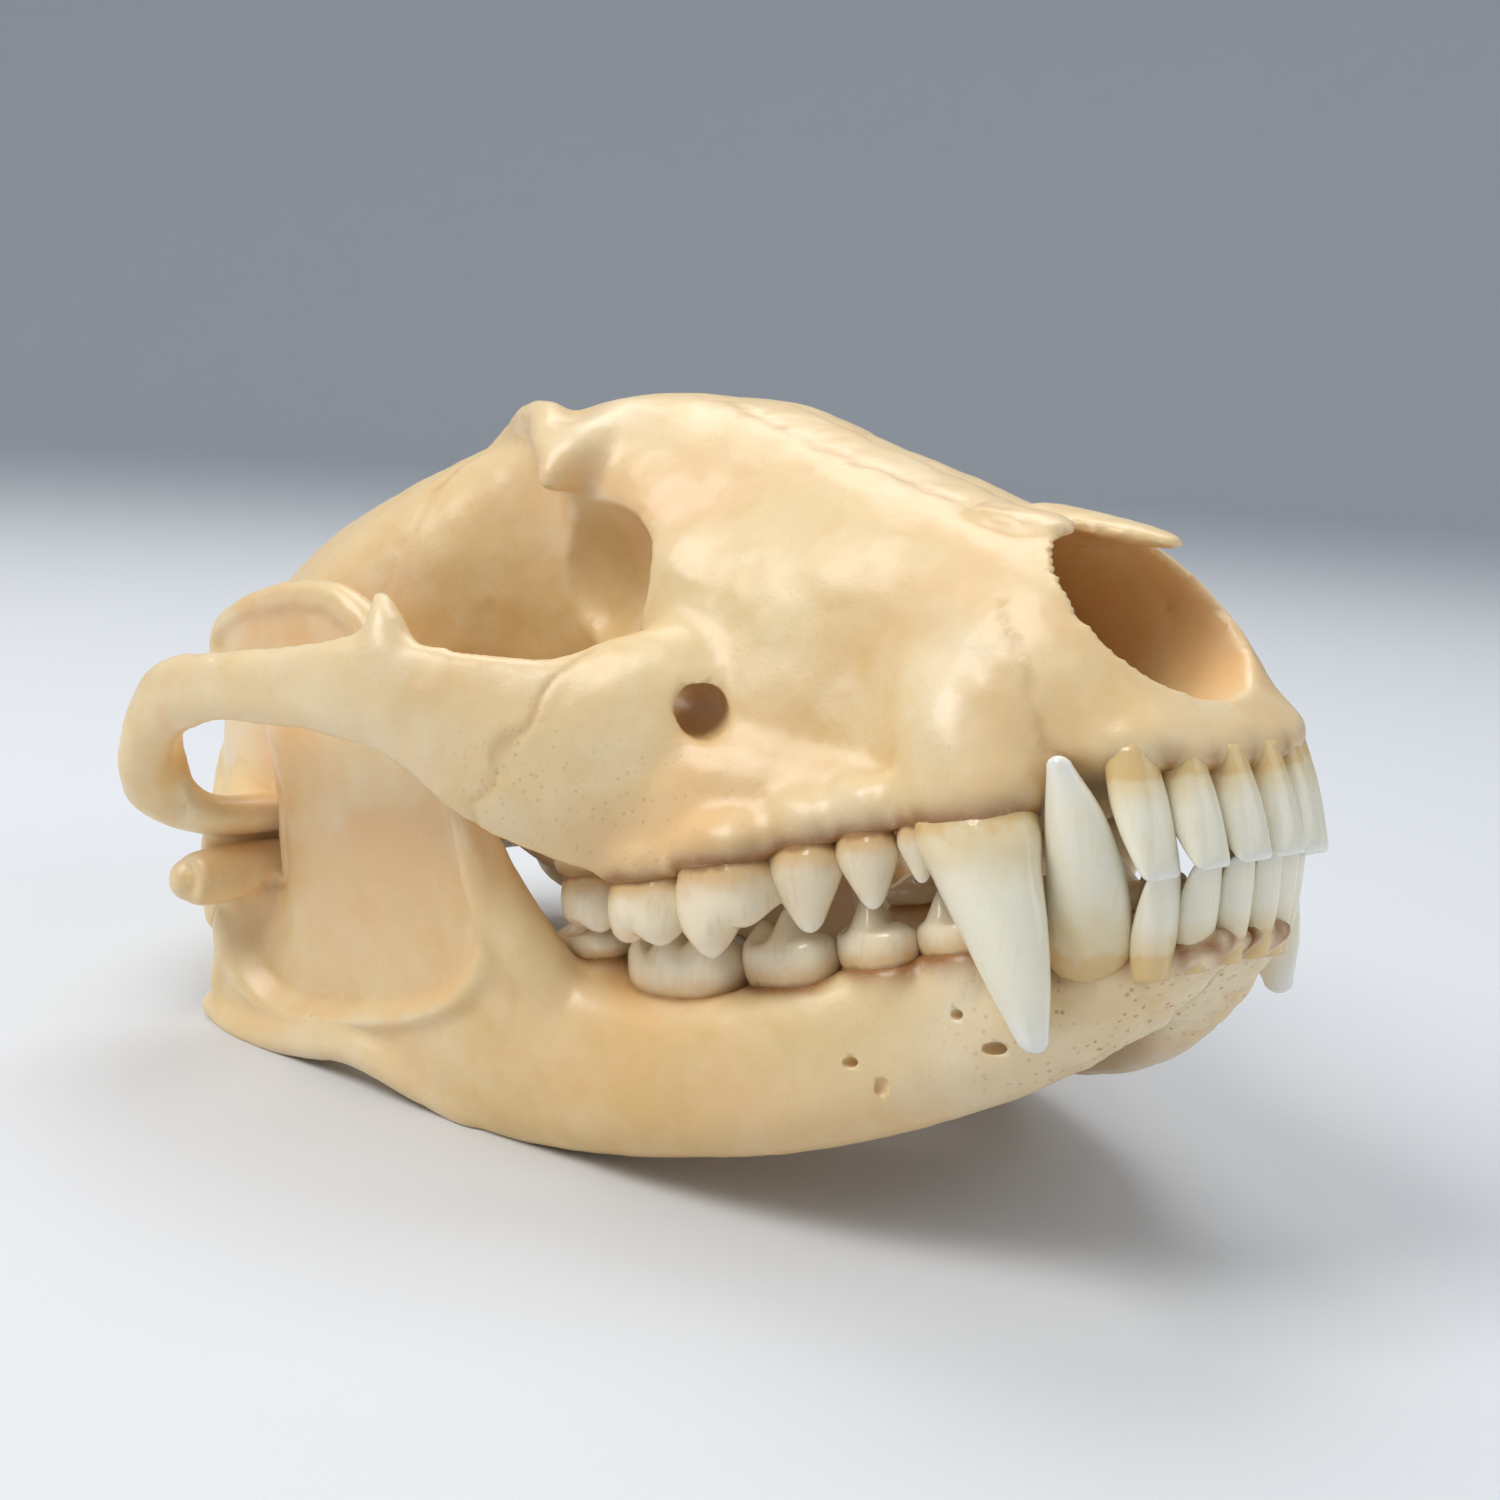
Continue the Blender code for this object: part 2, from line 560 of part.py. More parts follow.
def both_sides(make, *arguments):
    """The same piece for the right side and the left side."""
    return [make(*arguments, side=side) for side in (RIGHT, LEFT)]


def skull_clay():
    """The whole upper skull with its cheek arches, in one surface."""
    pieces = [case_body()]
    for name, stations in (("cheek", CHEEK_ROOT), ("tooth bed", TOOTH_BED), ("pterygoid", PTERYGOID_PLATE)):
        pieces += both_sides(oval_bar, name, stations)
    pieces += both_sides(leaning_bar, "canine socket", CANINE_SOCKET)
    for points in (CHEEK_PRONG, BROW_PRONG, MASTOID, JUGULAR_PRONG, NAPE_CREST, TEMPLE_RIDGE):
        pieces += both_sides(round_bar, "ridge", points)
    for shape in (EAR_BUBBLE, EAR_TUBE, NECK_KNOB, JAW_STOP):
        pieces += both_sides(lump, "lump", shape)
    return fuse("cranium", pieces)


def hollow_cutters():
    """The brain's room, the eyes' hollows, the spine's hole, the nose, the throat, the canals and the ear holes."""
    cutters = [lump("brain", BRAIN), lump("brain front", BRAIN_FRONT), round_bar("spine hole", SPINE_HOLE)]
    cutters += both_sides(lump, "orbit", ORBIT)
    cutters.append(oval_bar("nose", NOSE_HOLLOW))
    cutters.append(round_bar("throat", THROAT_HOLLOW))
    for points in (CHEEK_CANAL, EAR_HOLE):
        cutters += both_sides(round_bar, "canal", points)
    return cutters


def arch_block(side, shrink):
    """The space that a cheek arch takes, drawn in by so much on the faces that cut bone."""
    low_y, high_y = sorted((side * (ARCH_INNER_Y + shrink), side * ARCH_OUTER_Y))
    low = (ARCH_BACK_X, low_y, ARCH_LOW_Z)
    high = (ARCH_FRONT_X - shrink, high_y, ARCH_HIGH_Z)
    return block("arch room", low, high)


def chin_block(side):
    """The space across the midline that this half of the lower jaw must leave free."""
    low_y, high_y = sorted((side * JOINT_GAP / 2, -side * CHIN_REACH))
    return block("chin room", (CHIN_BACK_X, low_y, CHIN_LOW_Z), (CHIN_FRONT_X, high_y, CHIN_HIGH_Z))


def floor_block():
    """The space below the floor, tipped the other way, because the skull is tipped afterwards."""
    low = (FLOOR_BACK_X, -FLOOR_HALF_WIDTH, -FLOOR_DEPTH - FLOOR_THICKNESS)
    high = (FLOOR_FRONT_X, FLOOR_HALF_WIDTH, -FLOOR_DEPTH)
    return block("floor", low, high, Matrix.Rotation(NOSE_UP, 4, "Y"))


def copy_of(target, name):
    """A second object with its own copy of the mesh."""
    twin = bpy.data.objects.new(name, target.data.copy())
    bpy.context.scene.collection.objects.link(twin)
    return twin


def make_skull():
    """The cranium with its teeth, and the two cheek arches parted from it by thin cuts."""
    cranium = skull_clay()
    cut_or_join(cranium, hollow_cutters(), "DIFFERENCE", "MANIFOLD")
    thin(cranium, SKULL_TRIANGLES)
    arches = []
    for label, side in (("right", RIGHT), ("left", LEFT)):
        arch = copy_of(cranium, "zygomatic_arch_" + label)
        cut_or_join(arch, [arch_block(side, JOINT_GAP / 2)], "INTERSECT", "MANIFOLD")
        keep_largest(arch)
        arches.append(arch)
    rooms = [arch_block(side, -JOINT_GAP / 2) for side in (RIGHT, LEFT)]
    cut_or_join(cranium, rooms, "DIFFERENCE", "MANIFOLD")
    upper = []
    for side in (RIGHT, LEFT):
        upper += teeth(UPPER_CANINE, UPPER_INCISORS, UPPER_CHEEK_TEETH, -1.0, side)
    cut_or_join(cranium, upper, "UNION", "MANIFOLD")
    keep_largest(cranium)
    return [cranium, *arches]


def make_mandible(label, side):
    """One half of the lower jaw with its teeth, flat where it rests on the floor."""
    pieces = [jaw_body(side), jaw_plate(side), lump("coronoid tip", CORONOID_TIP, side)]
    for points in (CORONOID_EDGE, JAW_ANGLE, CONDYLE, CONDYLE_NECK):
        pieces.append(round_bar("ridge", points, side))
    mandible = fuse("mandible_" + label, pieces)
    thin(mandible, MANDIBLE_TRIANGLES)
    lower = teeth(LOWER_CANINE, LOWER_INCISORS, LOWER_CHEEK_TEETH, 1.0, side)
    cut_or_join(mandible, lower, "UNION", "MANIFOLD")
    cut_or_join(mandible, [chin_block(side), floor_block()], "DIFFERENCE", "MANIFOLD")
    keep_largest(mandible)
    return mandible


def bone_material(name):
    """Cream bone with a soft polish."""
    material = bpy.data.materials.new(name)
    material.use_nodes = True
    shader = material.node_tree.nodes["Principled BSDF"]
    shader.inputs["Base Color"].default_value = BONE_COLOUR
    shader.inputs["Roughness"].default_value = BONE_ROUGHNESS
    shader.inputs["Metallic"].default_value = 0.0
    material.diffuse_color = BONE_COLOUR
    return material


def stand_on_floor(parts):
    """An empty carries every part, tips the nose up and sets the whole on the floor over the origin."""
    holder = bpy.data.objects.new("skull", None)
    bpy.context.scene.collection.objects.link(holder)
    holder.rotation_euler = (0.0, -NOSE_UP, 0.0)
    for part in parts:
        part.parent = holder
    bpy.context.view_layer.update()
    corners = np.array([part.matrix_world @ vert.co for part in parts for vert in part.data.vertices])
    middle = (corners.min(axis=0) + corners.max(axis=0)) / 2
    holder.location = (-middle[0], -middle[1], FLOOR_DEPTH * MM)


def main():
    for thing in list(bpy.data.objects):
        bpy.data.objects.remove(thing)
    parts = make_skull()
    parts += [make_mandible(label, side) for label, side in (("right", RIGHT), ("left", LEFT))]
    group = bpy.data.collections.new("raccoon_skull")
    bpy.context.scene.collection.children.link(group)
    for part in parts:
        bpy.context.scene.collection.objects.unlink(part)
        group.objects.link(part)
        part.data.materials.clear()
        part.data.materials.append(bone_material(part.name))
        part.data.shade_smooth()
        part.data.set_sharp_from_angle(angle=SHARP_ANGLE)
    stand_on_floor(parts)


main()
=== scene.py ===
import itertools
import math

import bmesh
import bpy
import numpy as np
from mathutils import Matrix, Vector


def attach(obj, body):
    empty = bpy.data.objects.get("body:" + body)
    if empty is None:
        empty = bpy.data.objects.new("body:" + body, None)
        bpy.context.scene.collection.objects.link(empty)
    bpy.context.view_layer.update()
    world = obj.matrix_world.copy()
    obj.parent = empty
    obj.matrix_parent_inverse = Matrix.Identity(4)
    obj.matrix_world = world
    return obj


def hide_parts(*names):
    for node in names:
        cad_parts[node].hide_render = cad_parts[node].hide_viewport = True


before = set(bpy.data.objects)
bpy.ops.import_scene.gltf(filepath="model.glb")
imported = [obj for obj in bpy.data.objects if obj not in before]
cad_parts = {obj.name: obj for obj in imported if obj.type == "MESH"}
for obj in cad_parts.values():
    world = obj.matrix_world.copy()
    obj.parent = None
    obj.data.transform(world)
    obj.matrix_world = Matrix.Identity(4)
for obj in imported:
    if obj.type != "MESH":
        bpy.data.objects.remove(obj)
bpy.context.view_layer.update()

bl_info = {
    "name": "Raccoon skull",
    "version": (1, 0, 0),
    "blender": (4, 5, 0),
    "location": "3D View > Sidebar > Skull",
    "description": "Dresses the packed solids of a raccoon skull as bone and enamel",
    "category": "Add Mesh",
}

# Grids finer than the panel's, as shares of it: the cranium's second, after its hollows are cut, and the jaw's.
SECOND_GRID, JAW_GRID = 0.9, 0.85
SECOND_SOFTENING = 3
MOST_TRIANGLES = 190000
MIDLINE_GAP = 0.175  # from the midline to each half of the jaw, in millimetres

# Shapes are given in the skull's own frame, in millimetres: +X to the snout, +Z up, X = 0 at the back of the
# head and Z = 0 at the upper tooth sockets.  Paired pieces are given for the right side, at -Y.
MM = 0.001
TILT = math.radians(15.5)
TURN = np.array(((math.cos(TILT), 0, -math.sin(TILT)), (0, 1, 0), (math.sin(TILT), 0, math.cos(TILT))))
SHIFT = np.array((-51.77, 0.0, 4.5))
RIGHT, LEFT = -1.0, 1.0

# Sections: x, half width, level of the widest, top, bottom, fullness of the upper half and of the lower half.
CASE_SECTIONS = (
    (0.5, 11.5, 12.5, 22, 4, 2, 2.4),
    (5, 17.8, 13, 27.2, 2, 2, 2.6),
    (13, 22.2, 13.5, 32.2, 1.5, 2, 2.6),
    (24, 24, 15, 35.4, 1, 2.05, 2.6),
    (34, 23.4, 17.5, 36.2, 1.5, 2.1, 2.4),
    (43, 19.6, 21, 36.7, 2.5, 2.3, 2.2),
    (50, 14.6, 26.5, 36.7, 3, 2.6, 2),
    (56, 12, 30.5, 36.4, 2.5, 3, 2),
    (62, 13.4, 28.5, 35.7, 2, 3, 2.2),
    (68, 14, 22.5, 34.3, 1.5, 2.4, 2.6),
    (74, 17.2, 8, 32.2, -1, 1.9, 3),
    (79, 17.6, 4, 29.3, -1.6, 1.8, 3),
    (86, 15.4, 3, 25.3, -1.2, 1.9, 3),
    (92, 13.2, 3.5, 21.8, -0.6, 2.1, 3),
    (98, 12.4, 4, 18.7, -0.4, 2.2, 2.6),
    (102.5, 11.3, 4, 16.8, 0, 2.2, 2.4),
    (105.5, 10.2, 3.6, 13.4, 0.2, 2.2, 2.4),
    (108, 9, 2.6, 8.4, 0.3, 2.2, 2.2),
    (110, 7.4, 2, 4.8, 0.4, 2.2, 2),
    (111.3, 4.6, 1.6, 3, 0.6, 2, 2),
)

# Bars of oval section.  Each station is x, y, z, half size across, half size up.
CHEEK_ROOT = (
    (80, -11, 7.5, 4.5, 7.5), (76, -15.5, 7, 4.6, 8.6), (72.5, -19.5, 6.6, 4, 8.4), (70, -23, 6.6, 3, 7.6),
    (65, -28.3, 9.4, 1.9, 6.4), (61, -31, 12.7, 1.7, 5), (56, -33, 14, 1.7, 3.8), (50, -34.6, 15, 1.7, 3.1),
    (43, -36, 16, 1.8, 2.9), (36, -36.8, 15.8, 1.9, 3.4), (30.5, -36.2, 13.4, 2.4, 3.9),
    (27.2, -34.6, 9.8, 3.5, 3.5), (27.8, -31.4, 6.9, 3.9, 1.9), (28.4, -28, 6.4, 4.2, 1.7),
    (28.4, -23, 6.8, 4.8, 2.1), (28.4, -16, 8, 5.4, 3.6),
)
TOOTH_BED = (
    (61.5, -17.2, 1.4, 2.8, 2), (65, -17.4, 2, 3.9, 4.2), (71, -17.2, 2.8, 4.2, 5.8),
    (78, -16.2, 2.6, 4.2, 5.6), (85, -13.6, 2, 3.6, 4.6), (91, -12.4, 1.4, 2.4, 3),
)
CANINE_SOCKET = (
    (98.7, -11.7, -1.2, 4.2, 3.4), (98.9, -11.6, 0.6, 4.9, 4), (98, -11.1, 4, 4.7, 3.7), (96, -10.2, 8.2, 4, 3),
    (92.4, -8.6, 13.4, 3.2, 2.2),
)
PTERYGOID_PLATE = (
    (67, -8.6, 1.8, 1.5, 2.2), (58, -6.8, 0.6, 1.2, 3.4), (50, -6.6, 0, 1.1, 3.6), (43, -6.4, 1.4, 1.1, 3.4),
    (38, -6.6, 3, 1.4, 2.4),
)

# Round ridges and prongs.  Each point is x, y, z, radius.
CHEEK_PRONG = ((61.8, -30.2, 12, 2.4), (60.8, -30.4, 17.2, 1.8), (59.6, -30, 20.2, 1))
BROW_PRONG = ((62.6, -8.5, 31.6, 3.4), (63.2, -13.6, 30, 2.6), (63.2, -16.4, 28.4, 1.3))
MASTOID = ((19, -18, 9, 6.2), (17.4, -21.6, 5, 5.2), (15.8, -24.2, 0.6, 3.4), (15, -25.2, -2.2, 1.7))
JUGULAR_PRONG = ((11, -13, 7.6, 5), (9.8, -15.6, 3, 3.4), (9, -17.2, -0.6, 1.9), (8.8, -17.6, -2.2, 1.1))
NAPE_CREST = (
    (2, 2, 23.6, 1.4), (2.2, -6, 22.9, 1.4), (3.8, -13, 19.4, 1.4), (7, -18.6, 13.5, 1.5),
    (11.5, -22.2, 7.5, 1.7),
)
TEMPLE_RIDGE = (
    (63, -15.8, 29.4, 1.4), (60.4, -14.2, 32, 1.8), (57.4, -12.2, 34.4, 1.7), (52, -10.4, 35.8, 1.3),
    (44, -7, 36.6, 1), (34, -3.4, 36.2, 1), (24, 0, 35.2, 1),
)

# Rounded lumps: x, y, z and the three half sizes.
EAR_BUBBLE = (21.6, -12.6, 0.8, 8, 5.8, 5.6)
EAR_TUBE = (20.4, -18.6, 3.2, 3.4, 5, 3.2)
NECK_KNOB = (3.2, -7, 6.4, 4, 3.3, 4.6)
JAW_STOP = (23.4, -25, 3.4, 1.9, 5.4, 4.6)
CHIN_HOLES = (
    (88.9, -16, -15.3, 0.5, 1, 0.35), (95.5, -12.2, -12.7, 0.4, 0.9, 0.35), (97.3, -11, -15, 0.8, 1.2, 0.45),
    (90.6, -14.9, -17.1, 0.7, 0.35, 0.7), (108, -6, -12.1, 0.5, 0.8, 0.8),
)
FACE_HOLES = (
    (78, -14, 20.4, 0.5, 0.8, 0.5),
    (75.2, -14, 23.4, 0.4, 0.8, 0.4),
    (69.4, -27.6, 6, 0.6, 0.8, 0.4),
)
CORONOID_TIP = (34.6, -28.1, 19.4, 6.4, 1.4, 3.9)

# What is cut out of the cranium.
BRAIN = (28, 0, 19, 21.5, 19.6, 15.4)
BRAIN_FRONT = (46, 0, 24, 11, 9.8, 9)
ORBIT = (63, -19, 20.2, 10.5, 10, 7.6)
SPINE_HOLE = ((-4, 0, 10.4, 6.6), (4, 0, 10.6, 6.4), (14, 0, 12.4, 6.8))
NOSE_HOLLOW = (
    (116, 0, 11.6, 7, 6.4), (107, 0, 11.4, 7.2, 6.4), (101, 0, 11, 7.2, 6.9), (94, 0, 10.6, 6.8, 7),
    (86, 0, 11, 5.4, 6),
)
THROAT_HOLLOW = ((36, 0, -1.6, 3.6), (46, 0, 2.4, 4), (54, 0, 6, 4), (62, 0, 8, 3.4))

# The thin ends of the nasal bones over the nose's opening.  The left one is whole and the right one is chipped.
NASAL_TIP_LEFT = (
    (95, 2.6, 19.6, 2.6, 1), (100, 2.7, 17.7, 2.4, 0.8), (104, 2.9, 16.2, 1.6, 0.6), (105.6, 3, 15.6, 0.5, 0.4),
)
NASAL_TIP_RIGHT = ((95, -2.6, 19.6, 2.6, 1), (99.2, -2.9, 18.1, 2.2, 0.8), (101.4, -3.5, 17.2, 0.9, 0.5))

# Where bones grew together: lines on the surface as x, y, z, on both sides.
CRANIUM_SEAMS = (
    ((72.6, -21.6, 14.8), (71.6, -24.6, 11.4), (70, -26.6, 8.6), (67.6, -28, 5.4), (65, -28.8, 1.6)),
    ((99.6, -4.6, 17.8), (94, -4.2, 20.6), (86, -4.4, 25), (77, -4.8, 30), (70, -3.6, 33.4)),
    ((101.4, 0, 17.6), (92, 0, 22), (80, 0, 29), (68, 0, 34.4), (56, 0, 36.6), (44, 0, 36.8)),
    ((100.8, -9.4, 12.6), (102.6, -10.6, 8.4), (104, -10.6, 4.4), (105, -10, 0.8)),
    ((41, -20, 22), (44, -16.6, 29), (46, -9, 35.6), (46.4, 0, 36.9)),
)
CHEEK_CANAL = ((83.4, -20, 7.6, 1.7), (79.2, -17.2, 8.8, 1.8), (75, -15.6, 10.4, 2.2), (69.5, -16.6, 13, 2.4))
EAR_HOLE = ((19.6, -27, 3.2, 2.2), (20.4, -19, 2.6, 2.1), (21, -15, 2.2, 2))

# The lower jaw's body: x, y, z of the underside, z of the tooth sockets, half thickness.
JAW_BODY = (
    (47, -25.2, -15.2, -1, 1.8), (51, -24, -18.6, -1, 2.4), (56, -22.4, -20.7, -3, 3),
    (63, -20, -21.8, -7.4, 3.6), (70, -18.2, -22.1, -10.2, 4), (78, -16.2, -22, -10.6, 4.1),
    (86, -13.4, -21.2, -9.8, 4), (92, -10.2, -19.9, -8.8, 4), (97, -7, -18.3, -8.4, 4.7),
    (102, -4.2, -15.6, -9.4, 4.9), (106, -2.8, -12.8, -9.2, 3.9), (108.6, -2.2, -10.9, -8.8, 3),
    (109.8, -1.8, -10.1, -8.9, 2.2),
)
# The jaw's rear plate: x, lower edge, upper edge, y at the lower edge, y at the upper edge, half thickness.
JAW_PLATE = (
    (22.4, -10.6, -8, -29, -28.8, 1), (25, -12.2, -2.5, -28.9, -28.4, 1.3),
    (28.6, -12.9, 0.6, -28.2, -27.4, 1.4), (32.5, -13.3, 2.4, -27.4, -26.8, 1.3),
    (36.6, -13.6, 21.6, -26.8, -28.2, 1.2), (41, -13.9, 22.8, -26.4, -28.2, 1.2),
    (46, -15, 22.2, -25.8, -27.8, 1.3), (51, -18.4, 20, -24.6, -27, 1.4), (54.6, -19.6, 14.4, -23.6, -26, 1.5),
    (58, -20.6, 4, -22.6, -24.6, 1.7), (61.6, -21.2, -3, -21, -23.4, 1.9),
)
CORONOID_EDGE = (
    (36.4, -26.6, 3.4, 1.4), (37, -26.9, 9, 1.3), (36.4, -27.5, 14, 1.3), (32.4, -28, 17.4, 1.3),
    (28.4, -28.4, 20, 1.3), (30.4, -28.5, 22.4, 1.3), (36, -28.5, 23.2, 1.3), (43, -28.2, 23, 1.3),
    (49.6, -27.4, 21.2, 1.4), (54, -26.2, 15.6, 1.6), (57, -25, 8.6, 1.7), (59.6, -24.4, 1.4, 2),
    (62, -23, -5, 2.3), (64, -20.6, -11, 2.6),
)
JAW_ANGLE = (
    (21.6, -29.4, -9.6, 1.4), (27, -29.4, -11.7, 1.5), (34, -28.4, -12.8, 1.5), (42, -27, -13.4, 1.6),
    (48, -25.4, -15.8, 1.7), (54, -23.4, -18.6, 1.8),
)
CONDYLE = ((28.2, -32.6, 1.4, 2.4), (28.5, -29, 1.6, 2.6), (28.8, -24, 1.4, 2.6), (29.2, -18.8, 1.1, 2.2))
CONDYLE_NECK = ((29, -28, 0.4, 1.9), (25.8, -28.8, -3.6, 1.6), (23.6, -29.2, -7.6, 1.5))

# Fangs, from root to tip: x, y, z, half length, half width.
UPPER_CANINE = (
    (96.6, -10.4, 6, 3.2, 2.3), (98.9, -12, -0.6, 4.3, 3.3), (99.9, -12.6, -4, 3.75, 2.8),
    (100.9, -12.8, -7.4, 3, 2.25), (101.6, -12.8, -11, 2.1, 1.6), (101.9, -12.6, -14, 1.1, 0.95),
)
LOWER_CANINE = (
    (99.6, -5, -15, 2.2, 1.9), (102.4, -6.9, -9.8, 2.9, 2.4), (104.5, -8.9, -4.6, 2.55, 2.1),
    (105.2, -10.1, -1, 1.9, 1.6), (105.4, -11.1, 2, 0.85, 0.75),
)
UPPER_CANINE_GUM, LOWER_CANINE_GUM = -0.6, -9.8
FRONT_TEETH = 4  # on each side, three incisors and the canine
# Incisors: x, y, z at the socket, x, y, z of the biting edge, half width, half depth.
UPPER_INCISORS = (
    (110.9, -1.75, 0.6, 111.9, -1.7, -4.9, 1.65, 1.5),
    (110.1, -4.9, 0.8, 111.2, -4.9, -5, 1.6, 1.6),
    (108.7, -7.7, 1, 109.5, -7.7, -5.3, 1.75, 1.6),
)
LOWER_INCISORS = (
    (109, -1.4, -9.6, 110.7, -1.4, -4.5, 1.3, 1.2),
    (108.2, -3.9, -9.8, 110.1, -4, -4.6, 1.4, 1.3),
    (107, -6.1, -10, 108.8, -6.5, -4.8, 1.5, 1.3),
)
# The rim of bone round a tooth's root: how far it stands out past the tooth, and how deep it goes.
COLLAR, COLLAR_DEPTH = 0.3, 2.0
# The chewing muscle's hollow: x of its middle, half its length, z where its rounding starts, depth of that.
MUSCLE_MIDDLE, MUSCLE_REACH, MUSCLE_LEVEL, MUSCLE_DEPTH = 43.5, 17.0, -1.5, 9.5
# Cheek teeth: x, y, z at the socket, half length, half width, then each cusp as dx, dy, z of its tip.
UPPER_CHEEK_TEETH = (
    (94.9, -13.2, -0.6, 1.5, 1.3, ((0, -0.2, -4.2),)),
    (91.2, -14.4, -0.8, 2.4, 1.7, ((0.2, -0.2, -5.6),)),
    (86.6, -15.9, -1.2, 3.1, 2, ((0.1, -0.2, -6.8),)),
    (81.2, -17.6, -1.8, 4.3, 3.5, ((-0.6, -2, -7.9), (2.7, -1.6, -5.8), (-3, -1.9, -6.2), (0.4, 1.9, -4.6))),
    (73.8, -18, -2.4, 4.1, 3.8, ((1.8, -2.1, -6.9), (-1.9, -2.1, -6.6), (0.8, 1.9, -4.8), (-1.8, 1.6, -4.6))),
    (66.6, -17.8, -1.8, 3.2, 3.4, ((1.2, -1.8, -5.8), (-1.5, -1.6, -5.3), (0, 1.5, -4.2))),
)
LOWER_CHEEK_TEETH = (
    (98, -8.4, -8.6, 1, 0.9, ((0, 0, -6),)),
    (94.4, -10.8, -8.9, 2.7, 1.6, ((-0.5, 0, -4.7), (1.7, 0, -6.6), (-2, 0, -7))),
    (89.2, -12.6, -9.5, 3.2, 1.9, ((-0.3, 0, -4.4), (2, 0, -6.8), (-2.4, 0, -6.9))),
    (82.4, -14.4, -10.3, 4.1, 2.3, ((0.8, -0.3, -5), (-2.4, 0, -6), (3, 0, -7.2))),
    (72.8, -16, -11, 5.8, 2.7,
     ((3.6, -0.6, -5.6), (0.2, -1.2, -5.8), (-3.6, -1, -6.3), (0.8, 1.2, -5.9), (-2.8, 1.2, -6.3))),
    (63.2, -17.4, -7.8, 3.8, 2.2, ((1.8, -0.4, -5.2), (-1.8, -0.4, -5.2), (0, 0.9, -5.4))),
)

# The camera, in the skull frame: place in millimetres, and its right, up and back directions.
CAMERA_PLACE = (181.04, -97.24, 1.07)
CAMERA_AXES = ((0.6287, 0.7692, -0.1142), (0.1006, 0.0652, 0.9928), (0.7711, -0.6356, -0.0364))
CAMERA_LENS = 45.3
# Lights: name, way to the light along the camera's right, up and back, size in metres, watts, colour.
LIGHTS = (
    ("key", (-0.55, 0.75, 0.35), 0.42, 3.5, (1.0, 0.98, 0.95)),
    ("fill", (0.8, 0.3, 0.3), 0.5, 0.9, (0.95, 0.97, 1.0)),
    ("top", (0.05, 0.9, -0.25), 0.4, 1.7, (1.0, 1.0, 1.0)),
)
LIGHT_REACH = 0.75
SKY_STRENGTH = 0.42
# The floor, in metres: radius of its level part, radius of the curve up, height of the wall.
FLOOR_FLAT, FLOOR_CURVE, FLOOR_WALL = 1.6, 0.8, 1.5


def to_world(points):
    """Skull frame to the frame of the solids: tip the nose up, shift, and turn millimetres into metres."""
    return (np.asarray(points) @ TURN.T + SHIFT) * MM


def to_skull(points):
    """The frame of the solids, in metres, back to the skull frame in millimetres."""
    return (np.asarray(points) / MM - SHIFT) @ TURN


def smooth_path(points, per_span):
    """A Catmull-Rom curve: each span is the cubic that passes through its ends with its neighbours' slopes."""
    points = np.asarray(points, float)
    padded = np.vstack([2 * points[0] - points[1], points, 2 * points[-1] - points[-2]])
    t = np.linspace(0, 1, per_span, endpoint=False)[:, None]
    rows = []
    for a, b, c, d in zip(padded[:-3], padded[1:-2], padded[2:-1], padded[3:]):
        square, cube = 2 * a - 5 * b + 4 * c - d, 3 * b - a - 3 * c + d
        rows.append(0.5 * (2 * b + (c - a) * t + square * t**2 + cube * t**3))
    rows.append(points[-1][None])
    return np.vstack(rows)


def full_turn(sides):
    """Angles once round a section."""
    return np.linspace(0, 2 * math.pi, sides, endpoint=False)


def rounded(wave, fullness):
    """A cosine or sine raised to 2 over the fullness, so that an oval turns towards a rounded box."""
    return np.sign(wave) * np.abs(wave) ** (2 / fullness)


def ease(value, low, high):
    """0 below low, 1 above high, and three t squared less two t cubed between."""
    t = np.clip((value - low) / (high - low), 0, 1)
    return t * t * (3 - 2 * t)


def noise(points, cell, seed, octaves=1):
    """Random heights on the corners of a grid of cubes, eased between; each octave halves the cubes and height."""
    total, share = 0.0, 1.0
    for octave in range(octaves):
        place = points / (cell * 0.5**octave)
        base = np.floor(place).astype(np.int64)
        t = place - base
        t = t * t * (3 - 2 * t)
        for corner in itertools.product((0, 1), repeat=3):
            mixed = (base + corner) @ np.array((374761393, 668265263, 1274126177)) + (seed + octave) * 974711
            mixed = (mixed ^ (mixed >> 13)) * 1274126177 & 0xFFFFFFFF
            height = ((mixed ^ (mixed >> 16)) & 0xFFFF) / 32767.5 - 1
            weight = np.prod(np.where(np.array(corner) == 1, t, 1 - t), axis=1)
            total = total + share * weight * height
        share *= 0.5
    return total


def skin(rings):
    """A closed triangle skin over a stack of rings, with a fan at each end and its faces outwards."""
    count, sides = rings.shape[:2]
    points = np.vstack([rings.reshape(-1, 3), rings[0].mean(axis=0)[None], rings[-1].mean(axis=0)[None]])
    i, j = (part.ravel() for part in np.meshgrid(np.arange(count - 1), np.arange(sides), indexing="ij"))
    k = (j + 1) % sides
    a, b, c, d = i * sides + j, i * sides + k, (i + 1) * sides + k, (i + 1) * sides + j
    ring = np.arange(sides)
    after = (ring + 1) % sides
    low, top = count * sides, (count - 1) * sides
    faces = np.vstack([
        np.stack([a, b, c], axis=1),
        np.stack([a, c, d], axis=1),
        np.stack([after, ring, 0 * ring + low], axis=1),
        np.stack([ring + top, after + top, 0 * ring + low + 1], axis=1),
    ])
    p, q, r = (points[faces[:, n]] for n in range(3))
    if np.einsum("ij,ij->i", p, np.cross(q, r)).sum() < 0:
        faces = faces[:, ::-1]
    return points, faces


